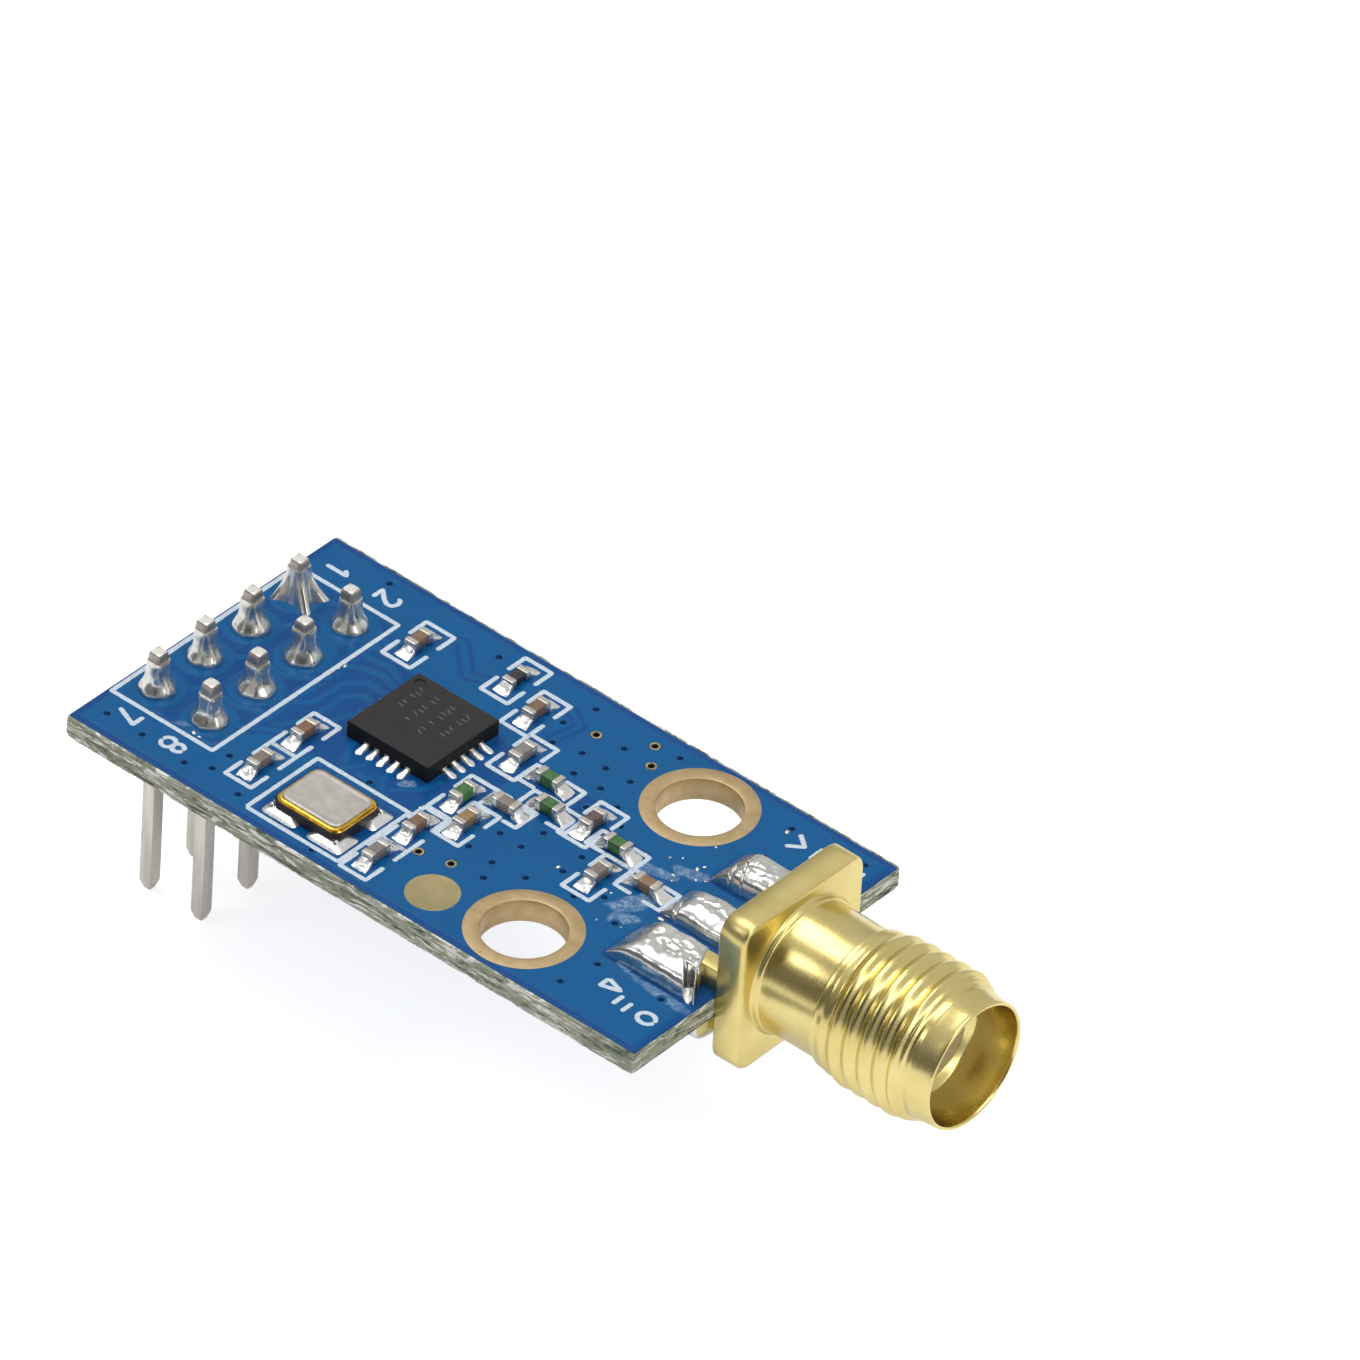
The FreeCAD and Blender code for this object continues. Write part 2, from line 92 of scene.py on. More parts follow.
def finish(name, dark, light, drift, rough, grain, relief, metallic=0.0, stretch=(1, 1, 1)):
    """A material whose colour drifts between two tones over drift mm, with a
    roughness range, and a relief in mm over a grain of that many mm."""
    material = bpy.data.materials.new(name)
    material.use_nodes = True
    tree = material.node_tree
    shader = tree.nodes["Principled BSDF"]
    shader.inputs["Metallic"].default_value = metallic
    place = add(tree, "ShaderNodeTexCoord").outputs["Object"]
    place = add(tree, "ShaderNodeMapping", {"Vector": place, "Scale": stretch}).outputs["Vector"]
    broad = add(tree, "ShaderNodeTexNoise", {"Vector": place, "Scale": 1 / (drift * mm), "Detail": 4.0})
    fine = add(tree, "ShaderNodeTexNoise", {"Vector": place, "Scale": 1 / (grain * mm), "Detail": 3.0})
    shade = add(tree, "ShaderNodeMapRange", {
        "Value": broad, "From Min": 0.3, "From Max": 0.7})
    colour = add(tree, "ShaderNodeMix", {
        "Factor": shade, "A_Color": paint(dark), "B_Color": paint(light)}, data_type="RGBA")
    tree.links.new(colour.outputs[2], shader.inputs["Base Color"])
    sheen = add(tree, "ShaderNodeMapRange", {
        "Value": fine, "From Min": 0.3, "From Max": 0.7, "To Min": rough[0], "To Max": rough[1]})
    tree.links.new(sheen.outputs["Result"], shader.inputs["Roughness"])
    bump = add(tree, "ShaderNodeBump", {
        "Height": fine, "Strength": 1.0, "Distance": relief * mm})
    tree.links.new(bump.outputs["Normal"], shader.inputs["Normal"])
    return material


def opened(material):
    """The node tree of a finish, its shader, and the colour that reaches the shader."""
    shader = material.node_tree.nodes["Principled BSDF"]
    return material.node_tree, shader, shader.inputs["Base Color"].links[0].from_socket


def in_mm(corners):
    """The two corners of a box, in mm."""
    return [np.array(corner) / mm for corner in corners]


def coat(mesh, material):
    """Gives a mesh its one finish."""
    mesh.materials.clear()
    mesh.materials.append(material)


def rounded_outline(x0, y0, x1, y1, r, step):
    """Points round a rectangle with arc corners, in order, about a step apart."""
    points = []
    corners = [(x1 - r, y1 - r, 0), (x0 + r, y1 - r, 90), (x0 + r, y0 + r, 180), (x1 - r, y0 + r, 270)]
    for k, (cx, cy, start) in enumerate(corners):
        turns = np.radians(np.linspace(start, start + 90, max(3, int(r * 1.6 / step) + 1)))
        points += [(cx + r * math.cos(a), cy + r * math.sin(a)) for a in turns]
        nx, ny, after = corners[(k + 1) % 4]
        a = math.radians(after)
        last = np.array(points[-1])
        ahead = np.array((nx + r * math.cos(a), ny + r * math.sin(a)))
        count = int(np.linalg.norm(ahead - last) / step)
        points += [tuple(last + (ahead - last) * i / count) for i in range(1, count)]
    return np.array(points)


def ring_of(x, y, r, count=32):
    """Points round a circle."""
    turns = np.linspace(0, 2 * math.pi, count, endpoint=False)
    return np.stack([x + r * np.cos(turns), y + r * np.sin(turns)], 1)


def mesh_from(bm, name, sharp=40):
    """A smooth mesh in metres from a bmesh in mm, with its faces turned outwards."""
    bmesh.ops.recalc_face_normals(bm, faces=bm.faces[:])
    bmesh.ops.scale(bm, vec=(mm, mm, mm), verts=bm.verts[:])
    mesh = bpy.data.meshes.new(name)
    bm.to_mesh(mesh)
    bm.free()
    mesh.shade_smooth()
    mesh.set_sharp_from_angle(angle=math.radians(sharp))
    return mesh


def place_piece(mesh, material, slot, *stands_for):
    """Puts a finished mesh into the scene, riding on the module, in the place of the named solids."""
    obj = bpy.data.objects.new(mesh.name, mesh)
    bpy.context.scene.collection.objects.link(obj)
    coat(mesh, material)
    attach(obj, "root")
    if stands_for:
        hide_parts(*stands_for)
    return obj


board_low, board_high = in_mm(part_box("circuit_board"))
board_top = board_high[2]
board_corner_r = 0.15
hole_from_middle = 4.82
mount_holes = [(0.0, side * hole_from_middle) for side in (-1, 1)]
first_x, first_y = -18.55, 3.74
pin_pitch = 2.54
pin_columns = [(first_x + pin_pitch * row, first_y - pin_pitch * step)
               for row in range(2) for step in range(4)]
open_vias = [
    (-5.4, 5.3), (-3.45, 6.3), (-2.8, 5.35), (-4.3, -3.9), (-5.6, -4.2),
]
tented = [
    (-18.9, -6.23), (-17.18, -6.23), (-15.02, -6.35), (-14.07, -5.89), (-14.1, -4.92), (-12.41, -6.34),
    (-9.47, -2.5), (-6.27, 3.86), (-6.74, 5.0), (-6.38, 6.41), (-5.09, 4.16), (-4.16, 5.42),
    (-2.35, 6.43), (-4.54, 3.07), (-3.9, 4.1), (-2.76, 4.14), (-3.28, 3.11), (-2.94, 1.93),
    (-2.14, 2.71), (-1.35, 1.97), (-4.2, -1.35), (-3.08, -0.25), (-3.14, -1.4), (-1.18, -0.31),
    (-1.15, -1.39), (-3.31, -2.8), (-2.95, -3.67), (-1.87, -2.61), (-4.51, -2.7), (0.06, -2.17),
    (0.88, -1.45), (2.11, -2.28), (3.16, -4.44), (2.83, -6.09), (6.07, -4.33), (3.17, 6.21),
    (3.49, 4.31), (6.4, 6.5), (-8.41, -6.8), (-16.6, 6.6), (-10.9, 6.2),
]
drills = ((1.64, mount_holes), (0.51, pin_columns), (0.15, open_vias), (0.17, tented))
drilled = [(x, y, r) for r, places in drills for x, y in places]

core = bmesh.new()
outline = rounded_outline(board_low[0], board_low[1], board_high[0], board_high[1], board_corner_r, 0.07)
inward = np.roll(outline, -1, 0) - np.roll(outline, 1, 0)
inward = np.stack([-inward[:, 1], inward[:, 0]], 1) / np.linalg.norm(inward, axis=1)[:, None]
rows = []
for level in np.linspace(0, 1, 11):
    z = board_low[2] + level * (board_top - board_low[2])
    depths = []
    for x, y in outline:
        tear = noise.noise(Vector((x * 1.6, y * 1.6, level * 5)))
        fray = noise.noise(Vector((x * 7, y * 7, level * 9 + 40)))
        depths.append(0.01 + 0.09 * max(0, tear) + 0.05 * max(0, fray) + 0.04 * (abs(level - 0.5) * 2) ** 8)
    rim = outline + inward * np.array(depths)[:, None]
    rows.append([core.verts.new((x, y, z)) for x, y in rim])
for low_row, high_row in zip(rows, rows[1:]):
    for i in range(len(outline)):
        j = (i + 1) % len(outline)
        core.faces.new((low_row[i], low_row[j], high_row[j], high_row[i]))
loops = {0: [rows[0]], 1: [rows[-1]]}
for x, y, r in drilled:
    floor_loop, roof_loop = ([core.verts.new((px, py, z)) for px, py in ring_of(x, y, r)]
                             for z in (board_low[2], board_top))
    loops[0].append(floor_loop)
    loops[1].append(roof_loop)
    for i in range(len(floor_loop)):
        j = (i + 1) % len(floor_loop)
        core.faces.new((floor_loop[i], roof_loop[i], roof_loop[j], floor_loop[j]))
for face_loops in loops.values():
    rim_edges = [core.edges.get(pair) for loop in face_loops for pair in zip(loop, loop[1:] + loop[:1])]
    bmesh.ops.triangle_fill(core, edges=rim_edges, use_beauty=True)

# Glass cloth in epoxy: pale broken strands lie along the edge in thin plies,
# about 0.1 mm each, with olive resin between them and torn gaps painted dark as
# painted shade.
glass_epoxy = finish("FR4 glass epoxy, routed", "#868d78", "#aeb09a", 1.4, (0.45, 0.8), 0.09, 0.03)
tree, shader, resin = opened(glass_epoxy)
where = add(tree, "ShaderNodeTexCoord").outputs["Object"]
plies = add(tree, "ShaderNodeMapping", {
    "Vector": where, "Scale": (0.42, 0.42, 3.2), "Rotation": (0.03, 0.05, 0)})
strands = add(tree, "ShaderNodeTexNoise", {
    "Vector": plies, "Scale": 1 / (0.5 * mm), "Detail": 5.0, "Roughness": 0.68, "Distortion": 0.9})
torn = add(tree, "ShaderNodeMapRange", {"Value": strands, "From Min": 0.53, "From Max": 0.585})
# Painted shade: the low spots of the strand pattern are mixed towards dark olive, as shade in the torn gaps.
gaps = add(tree, "ShaderNodeMapRange", {"Value": strands, "From Min": 0.45, "From Max": 0.405})
fibre = add(tree, "ShaderNodeMix", {
    "Factor": torn, "A_Color": resin, "B_Color": paint("#f0f1ea")}, data_type="RGBA")
shadowed = add(tree, "ShaderNodeMix", {
    "Factor": gaps, "A_Color": fibre.outputs[2], "B_Color": paint("#4a5745")}, data_type="RGBA")
tree.links.new(shadowed.outputs[2], shader.inputs["Base Color"])
place_piece(mesh_from(core, "board_core", 60), glass_epoxy, "solder_mask_blue", "circuit_board")


# Solder mask: a thin blue lacquer printed over the copper and cured. It swells
# over each trace and the copper pour, sinks round the pads and thins out at
# the board's edge. Over copper it looks greener, over bare resin deeper blue.
mask_rise = 0.02
copper_rise = 0.022
mask_low = board_low[:2] + (0.05, 0.15)
mask_high = board_high[:2] - (0.05, 0.15)
mask_corner_r = 0.1
part_boxes = {}
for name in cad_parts:
    if name.split("_")[0] in ("capacitor", "inductor", "resistor") and not name.endswith("caps"):
        low, high = in_mm(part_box(name))
        part_boxes[name] = ((low + high) / 2, high - low)
pads = []
pad_from_middle, half_pad_along, half_pad_across = 0.62, 0.34, 0.3
for centre, size in part_boxes.values():
    along = np.array((1, 0) if size[0] > size[1] else (0, 1))
    for side in (-1, 1):
        middle = centre[:2] + along * side * pad_from_middle
        half = np.where(along, half_pad_along, half_pad_across)
        pads.append((*(middle - half), *(middle + half)))
crystal_x, crystal_y = -9.39, -4.87
crystal_pads = []
for x in (crystal_x - 1.08, crystal_x + 1.08):
    for y in (crystal_y - 0.95, crystal_y + 0.95):
        crystal_pads.append((x - 0.81, y - 0.61, x + 0.81, y + 0.61))
pads += crystal_pads
socket_pads = [(2.95, -3.85, 7.4, -1.75), (2.9, -0.8, 7.4, 0.95), (2.95, 1.95, 7.4, 3.85)]
bare_areas = [
    (-19.3, -4.9, -14.95, 4.8), (-14.4, -2.7, -11.6, 3.3), (-12.3, -2.75, -7.3, -0.9),
    (-7.9, -1.6, -5.9, 2.7), (-6.3, 1.3, -2.6, 2.5), (-4.6, 0.2, 0.4, 1.6), (-11.5, -6.4, -7.5, -3.1),
]
traces = [
    (0.26, [(-16.01, 3.74), (-15.4, 3.1), (-15.0, 2.77), (-14.1, 2.85), (-13.3, 3.0), (-12.6, 2.6),
        (-11.9, 2.36)]),
    (0.26, [(-16.01, 1.2), (-14.9, 1.5), (-14.3, 2.1), (-13.2, 2.45), (-12.4, 2.2), (-11.9, 1.86)]),
    (0.26, [(-16.01, -1.34), (-14.6, -1.1), (-13.95, -0.4), (-13.9, 1.1), (-13.3, 1.75), (-12.4, 1.7),
        (-11.9, 1.36)]),
    (0.26, [(-16.01, -3.88), (-14.5, -3.2), (-13.6, -1.66), (-13.4, -0.67), (-13.4, 0.5), (-12.9, 1.1),
        (-11.9, 0.86)]),
    (0.26, [(-14.6, -3.1), (-13.6, -2.5), (-12.9, -1.4), (-12.6, -0.3), (-12.3, 0.3), (-11.9, 0.36)]),
    (0.26, [(-18.55, 3.74), (-17.4, 4.3), (-16.4, 4.5), (-15.3, 4.4), (-14.3, 3.9), (-13.5, 3.9)]),
    (0.26, [(-18.55, 1.2), (-17.3, 2.4), (-16.0, 2.5), (-15.2, 2.1)]),
    (0.26, [(-18.55, -1.34), (-17.3, -0.1), (-16.0, -0.1), (-15.0, 0.4), (-14.5, 1.0)]),
    (0.26, [(-18.55, -3.88), (-17.3, -2.6), (-15.8, -2.6), (-14.9, -2.2)]),
    (0.24, [(-11.4, -1.2), (-11.0, -2.1), (-10.0, -2.4), (-8.6, -2.2), (-7.9, -1.5), (-7.7, -0.7)]),
    (0.24, [(-10.4, -1.2), (-10.3, -1.9), (-10.9, -2.9), (-11.2, -3.6)]),
    (0.24, [(-9.4, -1.2), (-9.3, -2.0), (-8.4, -3.0), (-8.2, -3.8)]),
    (0.3, [(-7.9, 1.36), (-7.0, 1.5), (-6.2, 1.9), (-5.2, 1.97)]),
    (0.3, [(-7.9, 0.4), (-7.1, 0.1), (-6.46, -0.3)]),
    (0.3, [(-4.2, 1.97), (-3.6, 1.5), (-3.7, 0.8)]),
    (0.34, [(-3.2, 0.8), (-2.1, 0.8), (-1.0, 0.86)]),
    (0.34, [(0.0, 0.86), (0.4, 0.3), (1.2, -0.05)]),
    (0.6, [(2.2, -0.05), (3.3, 0.15), (4.4, 0.37)]),
    (0.22, [(-7.75, 5.2), (-6.9, 5.7), (-6.1, 5.2), (-6.3, 4.3), (-6.45, 3.2)]),
    (0.3, [(-13.45, 5.4), (-12.4, 5.9), (-11.0, 4.6), (-9.53, 5.2)]),
]


def run_distance(x, y, line):
    """How far each point is from a run of straight pieces."""
    best = np.full(x.shape, 1e3)
    for (ax, ay), (bx, by) in zip(line, line[1:]):
        dx, dy = bx - ax, by - ay
        t = np.clip(((x - ax) * dx + (y - ay) * dy) / (dx * dx + dy * dy), 0, 1)
        best = np.minimum(best, np.hypot(x - ax - t * dx, y - ay - t * dy))
    return best


def box_distance(x, y, box):
    """How far each point is outside a rectangle; less than nothing inside it."""
    x0, y0, x1, y1 = box
    return np.maximum(np.maximum(x0 - x, x - x1), np.maximum(y0 - y, y - y1))


def ease(distance, width):
    """One well inside a border, nothing outside it, with a soft step between."""
    t = np.clip(0.5 - distance / width, 0, 1)
    return t * t * (3 - 2 * t)


def copper_under(x, y, top):
    """Where copper lies under the mask, from nothing to one."""
    pour_inset, gap_by_trace, pin_land_r = 0.29, 0.16, 1.1
    copper = ease(box_distance(x, y, (*mask_low, *mask_high)) + pour_inset, 0.12)
    for box in (bare_areas if top else [(-19.3, -4.9, -14.9, 4.8)]):
        copper = np.minimum(copper, 1 - ease(box_distance(x, y, box), 0.12))
    for width, line in traces:
        near = run_distance(x, y, line if top else [(px, -py) for px, py in line])
        copper = np.minimum(copper, ease(width / 2 + gap_by_trace - near, 0.1))
        copper = np.maximum(copper, ease(near - width / 2, 0.1))
    for px, py in pin_columns:
        copper = np.maximum(copper, ease(np.hypot(x - px, y - py) - pin_land_r, 0.1))
    # Round each pad the copper stops short, a real clearance; the darker mask it leaves there is also painted
    # shade round the solder.
    gaps = [(box, 0.09) for box in (pads if top else [])] + [(box, 0.12) for box in socket_pads]
    for box, gap in gaps:
        copper = np.minimum(copper, ease(gap - box_distance(x, y, box), 0.1))
    return copper


# Flux has dried on the lacquer where the iron was used: thin, pale, half-clear
# films with a ragged border, each given as a centre, two radii and a turn.
residues = [
    (1.9, -0.9, 1.0, 0.42, 62), (2.1, -1.9, 0.55, 0.35, 20), (6.1, -4.17, 1.2, 0.24, -4),
    (4.3, -3.98, 0.9, 0.08, -8), (2.2, 1.7, 0.7, 0.3, 10), (-16.6, -4.75, 0.35, 0.12, 25),
    (1.2, 0.9, 0.8, 0.25, 15), (-8.44, -1.6, 0.36, 0.22, 40),
]


def residue_over(x, y):
    """How thick the dried flux lies, from nothing to one."""
    thick = np.zeros(x.shape)
    for cx, cy, a, b, turn in residues:
        cos_t, sin_t = math.cos(math.radians(turn)), math.sin(math.radians(turn))
        u = ((x - cx) * cos_t + (y - cy) * sin_t) / a
        v = (-(x - cx) * sin_t + (y - cy) * cos_t) / b
        spread = np.hypot(u, v)
        close = spread < 1.5
        for i, j in zip(*np.nonzero(close)):
            spread[i, j] += 0.45 * noise.noise(Vector((x[i, j] * 2.3, y[i, j] * 2.3, cx)))
        thick = np.maximum(thick, ease(spread - 1, 0.2))
    return thick


def mask_film(name, top, cell):
    """A sheet of lacquer with its swells, open at the plated holes, with a copper share on every point."""
    low, high = mask_low, mask_high
    counts = np.ceil((high - low) / cell).astype(int) + 1
    x, y = np.meshgrid(np.linspace(low[0], high[0], counts[0]), np.linspace(low[1], high[1], counts[1]))
    cx = np.clip(x, low[0] + mask_corner_r, high[0] - mask_corner_r)
    cy = np.clip(y, low[1] + mask_corner_r, high[1] - mask_corner_r)
    out = np.hypot(x - cx, y - cy)
    pull = np.where(out > mask_corner_r, mask_corner_r / np.maximum(out, 1e-6), 1)
    x = cx + (x - cx) * pull
    y = cy + (y - cy) * pull
    copper = copper_under(x, y, top)
    edge = box_distance(x, y, (low[0], low[1], high[0], high[1]))
    rise = (mask_rise + copper_rise * copper) * (0.35 + 0.65 * ease(edge + 0.06, 0.12))
    face_z, side = (board_top, 1) if top else (board_low[2], -1)
    z = face_z + side * rise
    keep = np.ones(x.shape, bool)
    for r, places in ((1.9, mount_holes), (0.17, open_vias), (0.15, tented)):
        for px, py in places:
            keep &= np.hypot(x - px, y - py) > r
    number = -np.ones(x.shape, int)
    number[keep] = np.arange(keep.sum())
    a, b, c, d = number[:-1, :-1], number[:-1, 1:], number[1:, 1:], number[1:, :-1]
    whole = (a >= 0) & (b >= 0) & (c >= 0) & (d >= 0)
    faces = np.stack([a[whole], b[whole], c[whole], d[whole]], 1)
    mesh = bpy.data.meshes.new(name)
    mesh.from_pydata(np.stack([x[keep], y[keep], z[keep]], 1).tolist(), [], faces.tolist())
    residue = residue_over(x, y) if top else np.zeros(x.shape)
    for label, amount in (("copper", copper), ("residue", residue)):
        layer = mesh.attributes.new(label, "FLOAT", "POINT")
        layer.data.foreach_set("value", amount[keep].astype(np.float32))
    film = bmesh.new()
    film.from_mesh(mesh)
    bpy.data.meshes.remove(mesh)
    rims = bmesh.ops.extrude_edge_only(film, edges=[e for e in film.edges if e.is_boundary])["geom"]
    for vert in rims:
        if isinstance(vert, bmesh.types.BMVert):
            vert.co.z = face_z - side * 0.01
    for vert in [v for v in film.verts if not v.link_faces]:
        film.verts.remove(vert)
    if not top:
        bmesh.ops.reverse_faces(film, faces=film.faces[:])
    bmesh.ops.scale(film, vec=(mm, mm, mm), verts=film.verts[:])
    mesh = bpy.data.meshes.new(name)
    film.to_mesh(mesh)
    film.free()
    mesh.shade_smooth()
    return mesh


# A lacquer with a soft gloss: mottled on a scale of millimetres where the ink
# is thicker, with tiny dust specks, clear enough to show the copper, and with
# painted shade: darker in the middle of each via cup it sags into.
mask_lacquer = finish("solder mask lacquer", "#0b4c8c", "#0e5192", 2.2, (0.24, 0.34), 0.12, 0.0004)
tree, shader, deep = opened(mask_lacquer)
share = add(tree, "ShaderNodeAttribute", attribute_name="copper").outputs["Fac"]
where = add(tree, "ShaderNodeTexCoord").outputs["Object"]
cloud = add(tree, "ShaderNodeTexNoise", {"Vector": where, "Scale": 1 / (3.0 * mm), "Detail": 3.0})
over_copper = add(tree, "ShaderNodeMix", {
    "Factor": cloud, "A_Color": paint("#0b5993"), "B_Color": paint("#0f629b")}, data_type="RGBA")
lacquer = add(tree, "ShaderNodeMix", {
    "Factor": share, "A_Color": deep, "B_Color": over_copper.outputs[2]}, data_type="RGBA")
dust = add(tree, "ShaderNodeTexNoise", {"Vector": where, "Scale": 1 / (0.16 * mm), "Detail": 2.0})
specks = add(tree, "ShaderNodeMapRange", {
    "Value": dust, "From Min": 0.73, "From Max": 0.8, "To Max": 0.45})
dusted = add(tree, "ShaderNodeMix", {
    "Factor": specks, "A_Color": lacquer.outputs[2], "B_Color": paint("#8fb4d6")}, data_type="RGBA")
film = add(tree, "ShaderNodeAttribute", attribute_name="residue").outputs["Fac"]
streaks = add(tree, "ShaderNodeTexNoise", {
    "Vector": where, "Scale": 1 / (0.22 * mm), "Detail": 4.0, "Distortion": 1.2})
crusts = add(tree, "ShaderNodeMapRange", {
    "Value": streaks, "From Min": 0.42, "From Max": 0.68, "To Min": 0.16, "To Max": 0.62})
cover = add(tree, "ShaderNodeMath", [film, crusts], operation="MULTIPLY")
fluxed = add(tree, "ShaderNodeMix", {
    "Factor": cover, "A_Color": dusted.outputs[2], "B_Color": paint("#a9c2da")}, data_type="RGBA")
# Painted shade: the middle of each tented via cup is mixed towards deep blue.
sag = add(tree, "ShaderNodeAttribute", attribute_name="sag").outputs["Fac"]
shaded = add(tree, "ShaderNodeMix", {
    "Factor": sag, "A_Color": fluxed.outputs[2], "B_Color": paint("#083263")}, data_type="RGBA")
tree.links.new(shaded.outputs[2], shader.inputs["Base Color"])
shader.inputs["Specular IOR Level"].default_value = 0.14
shader.inputs["Coat Weight"].default_value = 0.05
shader.inputs["Coat Roughness"].default_value = 0.12
place_piece(mask_film("solder_mask_top", top=True, cell=0.075), mask_lacquer, "solder_mask_blue")
place_piece(mask_film("solder_mask_under", top=False, cell=0.12), mask_lacquer, "solder_mask_blue")


# Plated mounting rings: copper lands on both faces, joined by a plated barrel
# and coated with immersion gold. The drill has left faint scores in the wall,
# and the turn from land to wall is slightly rounded, so it catches the light.
land_rise = 0.05
enig_gold = finish("ENIG gold on copper", "#b89f72", "#c9b189", 0.5, (0.42, 0.52), 0.05, 0.0012, 0.85)


def skin(bm, loops, ends=True, closed=False):
    """Joins closed loops of equal length into a wall, with both ends capped unless it closes on itself."""
    verts = [[bm.verts.new(p) for p in loop] for loop in loops]
    count = len(verts[0])
    pairs = list(zip(verts, verts[1:])) + ([(verts[-1], verts[0])] if closed else [])
    for first, second in pairs:
        for i in range(count):
            j = (i + 1) % count
            bm.faces.new((first[i], first[j], second[j], second[i]))
    if ends and not closed:
        bm.faces.new(verts[0][::-1])
        bm.faces.new(verts[-1])
    return bm


def turned(bm, profile, x, y, count=96, closed=False):
    """Turns (radius, height) pairs about an upright axis."""
    loops = [[(px, py, z) for px, py in ring_of(x, y, r, count)] for r, z in profile]
    return skin(bm, loops, ends=not closed, closed=closed)


ring_half = [
    (2.225, 0.02), (2.225, 0.85), (2.2, 1.0), (1.78, 1.0), (1.7, 0.93), (1.63, 0.6), (1.605, -0.6),
]
middle_z = (board_top + board_low[2]) / 2
half_height = (board_top - board_low[2]) / 2


def ring_level(share):
    """Height above the board's middle: up to 0 inside the board, 1 at the land's face."""
    return half_height + share * land_rise


upper = [(r, middle_z + ring_level(share)) for r, share in ring_half]
lower = [(r, middle_z - ring_level(share)) for r, share in reversed(ring_half)]
inside = [(1.66, middle_z - half_height), (1.66, middle_z + half_height)]
ring_profile = upper + [(1.6, middle_z)] + lower + inside
for side, (x, y) in zip(("front", "back"), mount_holes):
    ring = turned(bmesh.new(), ring_profile, x, y, 160, closed=True)
    place_piece(mesh_from(ring, "mounting_land_" + side, 30), enig_gold, "land_gold", "mounting_ring_" + side)
pad_centre = np.mean(in_mm(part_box("round_ground_pad")), 0)
disc_profile = [
    (0.0001, board_top - 0.03), (1.04, board_top - 0.03), (1.04, board_top + 0.035),
    (1.015, board_top + 0.05), (0.98, board_top + 0.045), (0.0001, board_top + 0.045),
]
disc = turned(bmesh.new(), disc_profile, pad_centre[0], pad_centre[1], 128)
worn_gold = finish("ENIG gold, thin and stained", "#a3966c", "#b3a67d", 0.7, (0.45, 0.55), 0.05, 0.0012, 0.85)
place_piece(mesh_from(disc, "round_pad", 30), worn_gold, "land_gold", "round_ground_pad")


# Vias: five are left open, plated holes with a thin gold rim and a bore that
# the mask closes below, painted near-black as painted shade. The mask covers the
# others, and sags into each hole as a small cup with painted shade in its middle.
# Each kind is a pattern, set out over its places.
def grown(name, build, start, inputs):
    """Runs a Geometry Nodes tree with named inputs on a start mesh, and keeps the result as a plain mesh."""
    kinds = {float: "NodeSocketFloat", int: "NodeSocketInt", bpy.types.Object: "NodeSocketObject",
             bpy.types.Material: "NodeSocketMaterial"}
    tree = bpy.data.node_groups.new(name + " tree", "GeometryNodeTree")
    tree.interface.new_socket("Geometry", in_out="INPUT", socket_type="NodeSocketGeometry")
    tree.interface.new_socket("Geometry", in_out="OUTPUT", socket_type="NodeSocketGeometry")
    sockets = {label: tree.interface.new_socket(label, in_out="INPUT", socket_type=kinds[type(value)])
               for label, value in inputs.items()}
    given = add(tree, "NodeGroupInput").outputs
    made = build(tree, given)
    real = add(tree, "GeometryNodeRealizeInstances", {"Geometry": made})
    coated = add(tree, "GeometryNodeSetMaterial", {"Geometry": real, "Material": given["Finish"]})
    add(tree, "NodeGroupOutput", {"Geometry": coated})
    carrier = bpy.data.objects.new(name + " start", start)
    bpy.context.scene.collection.objects.link(carrier)
    modifier = carrier.modifiers.new("tree", "NODES")
    modifier.node_group = tree
    for label, value in inputs.items():
        modifier[sockets[label].identifier] = value
    ready = carrier.evaluated_get(bpy.context.evaluated_depsgraph_get())
    mesh = bpy.data.meshes.new_from_object(ready)
    mesh.name = name
    bpy.data.objects.remove(carrier)
    bpy.data.node_groups.remove(tree)
    return mesh


def build_copies(tree, given):
    """Sets the pattern on every point, turned and sized by the point, and shakes each copy a little."""
    turn = add(tree, "GeometryNodeInputNamedAttribute", {"Name": "turn"}, data_type="FLOAT")
    size = add(tree, "GeometryNodeInputNamedAttribute", {"Name": "size"}, data_type="FLOAT_VECTOR")
    angles = add(tree, "ShaderNodeCombineXYZ", {"Z": turn.outputs["Attribute"]})
    rotation = add(tree, "FunctionNodeEulerToRotation", {"Euler": angles})
    pattern = add(tree, "GeometryNodeObjectInfo", {"Object": given["Pattern"]})
    copies = add(tree, "GeometryNodeInstanceOnPoints", {
        "Points": given["Geometry"], "Instance": pattern.outputs["Geometry"],
        "Rotation": rotation, "Scale": size.outputs["Attribute"]})
    real = add(tree, "GeometryNodeRealizeInstances", {"Geometry": copies})
    where = add(tree, "GeometryNodeInputPosition")
    density = add(tree, "ShaderNodeMath", [1.0, given["Shake size"]], operation="DIVIDE")
    shake = add(tree, "ShaderNodeTexNoise", {"Vector": where, "Scale": density, "Detail": 2.0})
    centred = add(tree, "ShaderNodeVectorMath", [
        shake.outputs["Color"], (0.5, 0.5, 0.5)], operation="SUBTRACT")
    offset = add(tree, "ShaderNodeVectorMath", {
        "Vector": centred, "Scale": given["Shake"]}, operation="SCALE")
    return add(tree, "GeometryNodeSetPosition", {"Geometry": real, "Offset": offset})


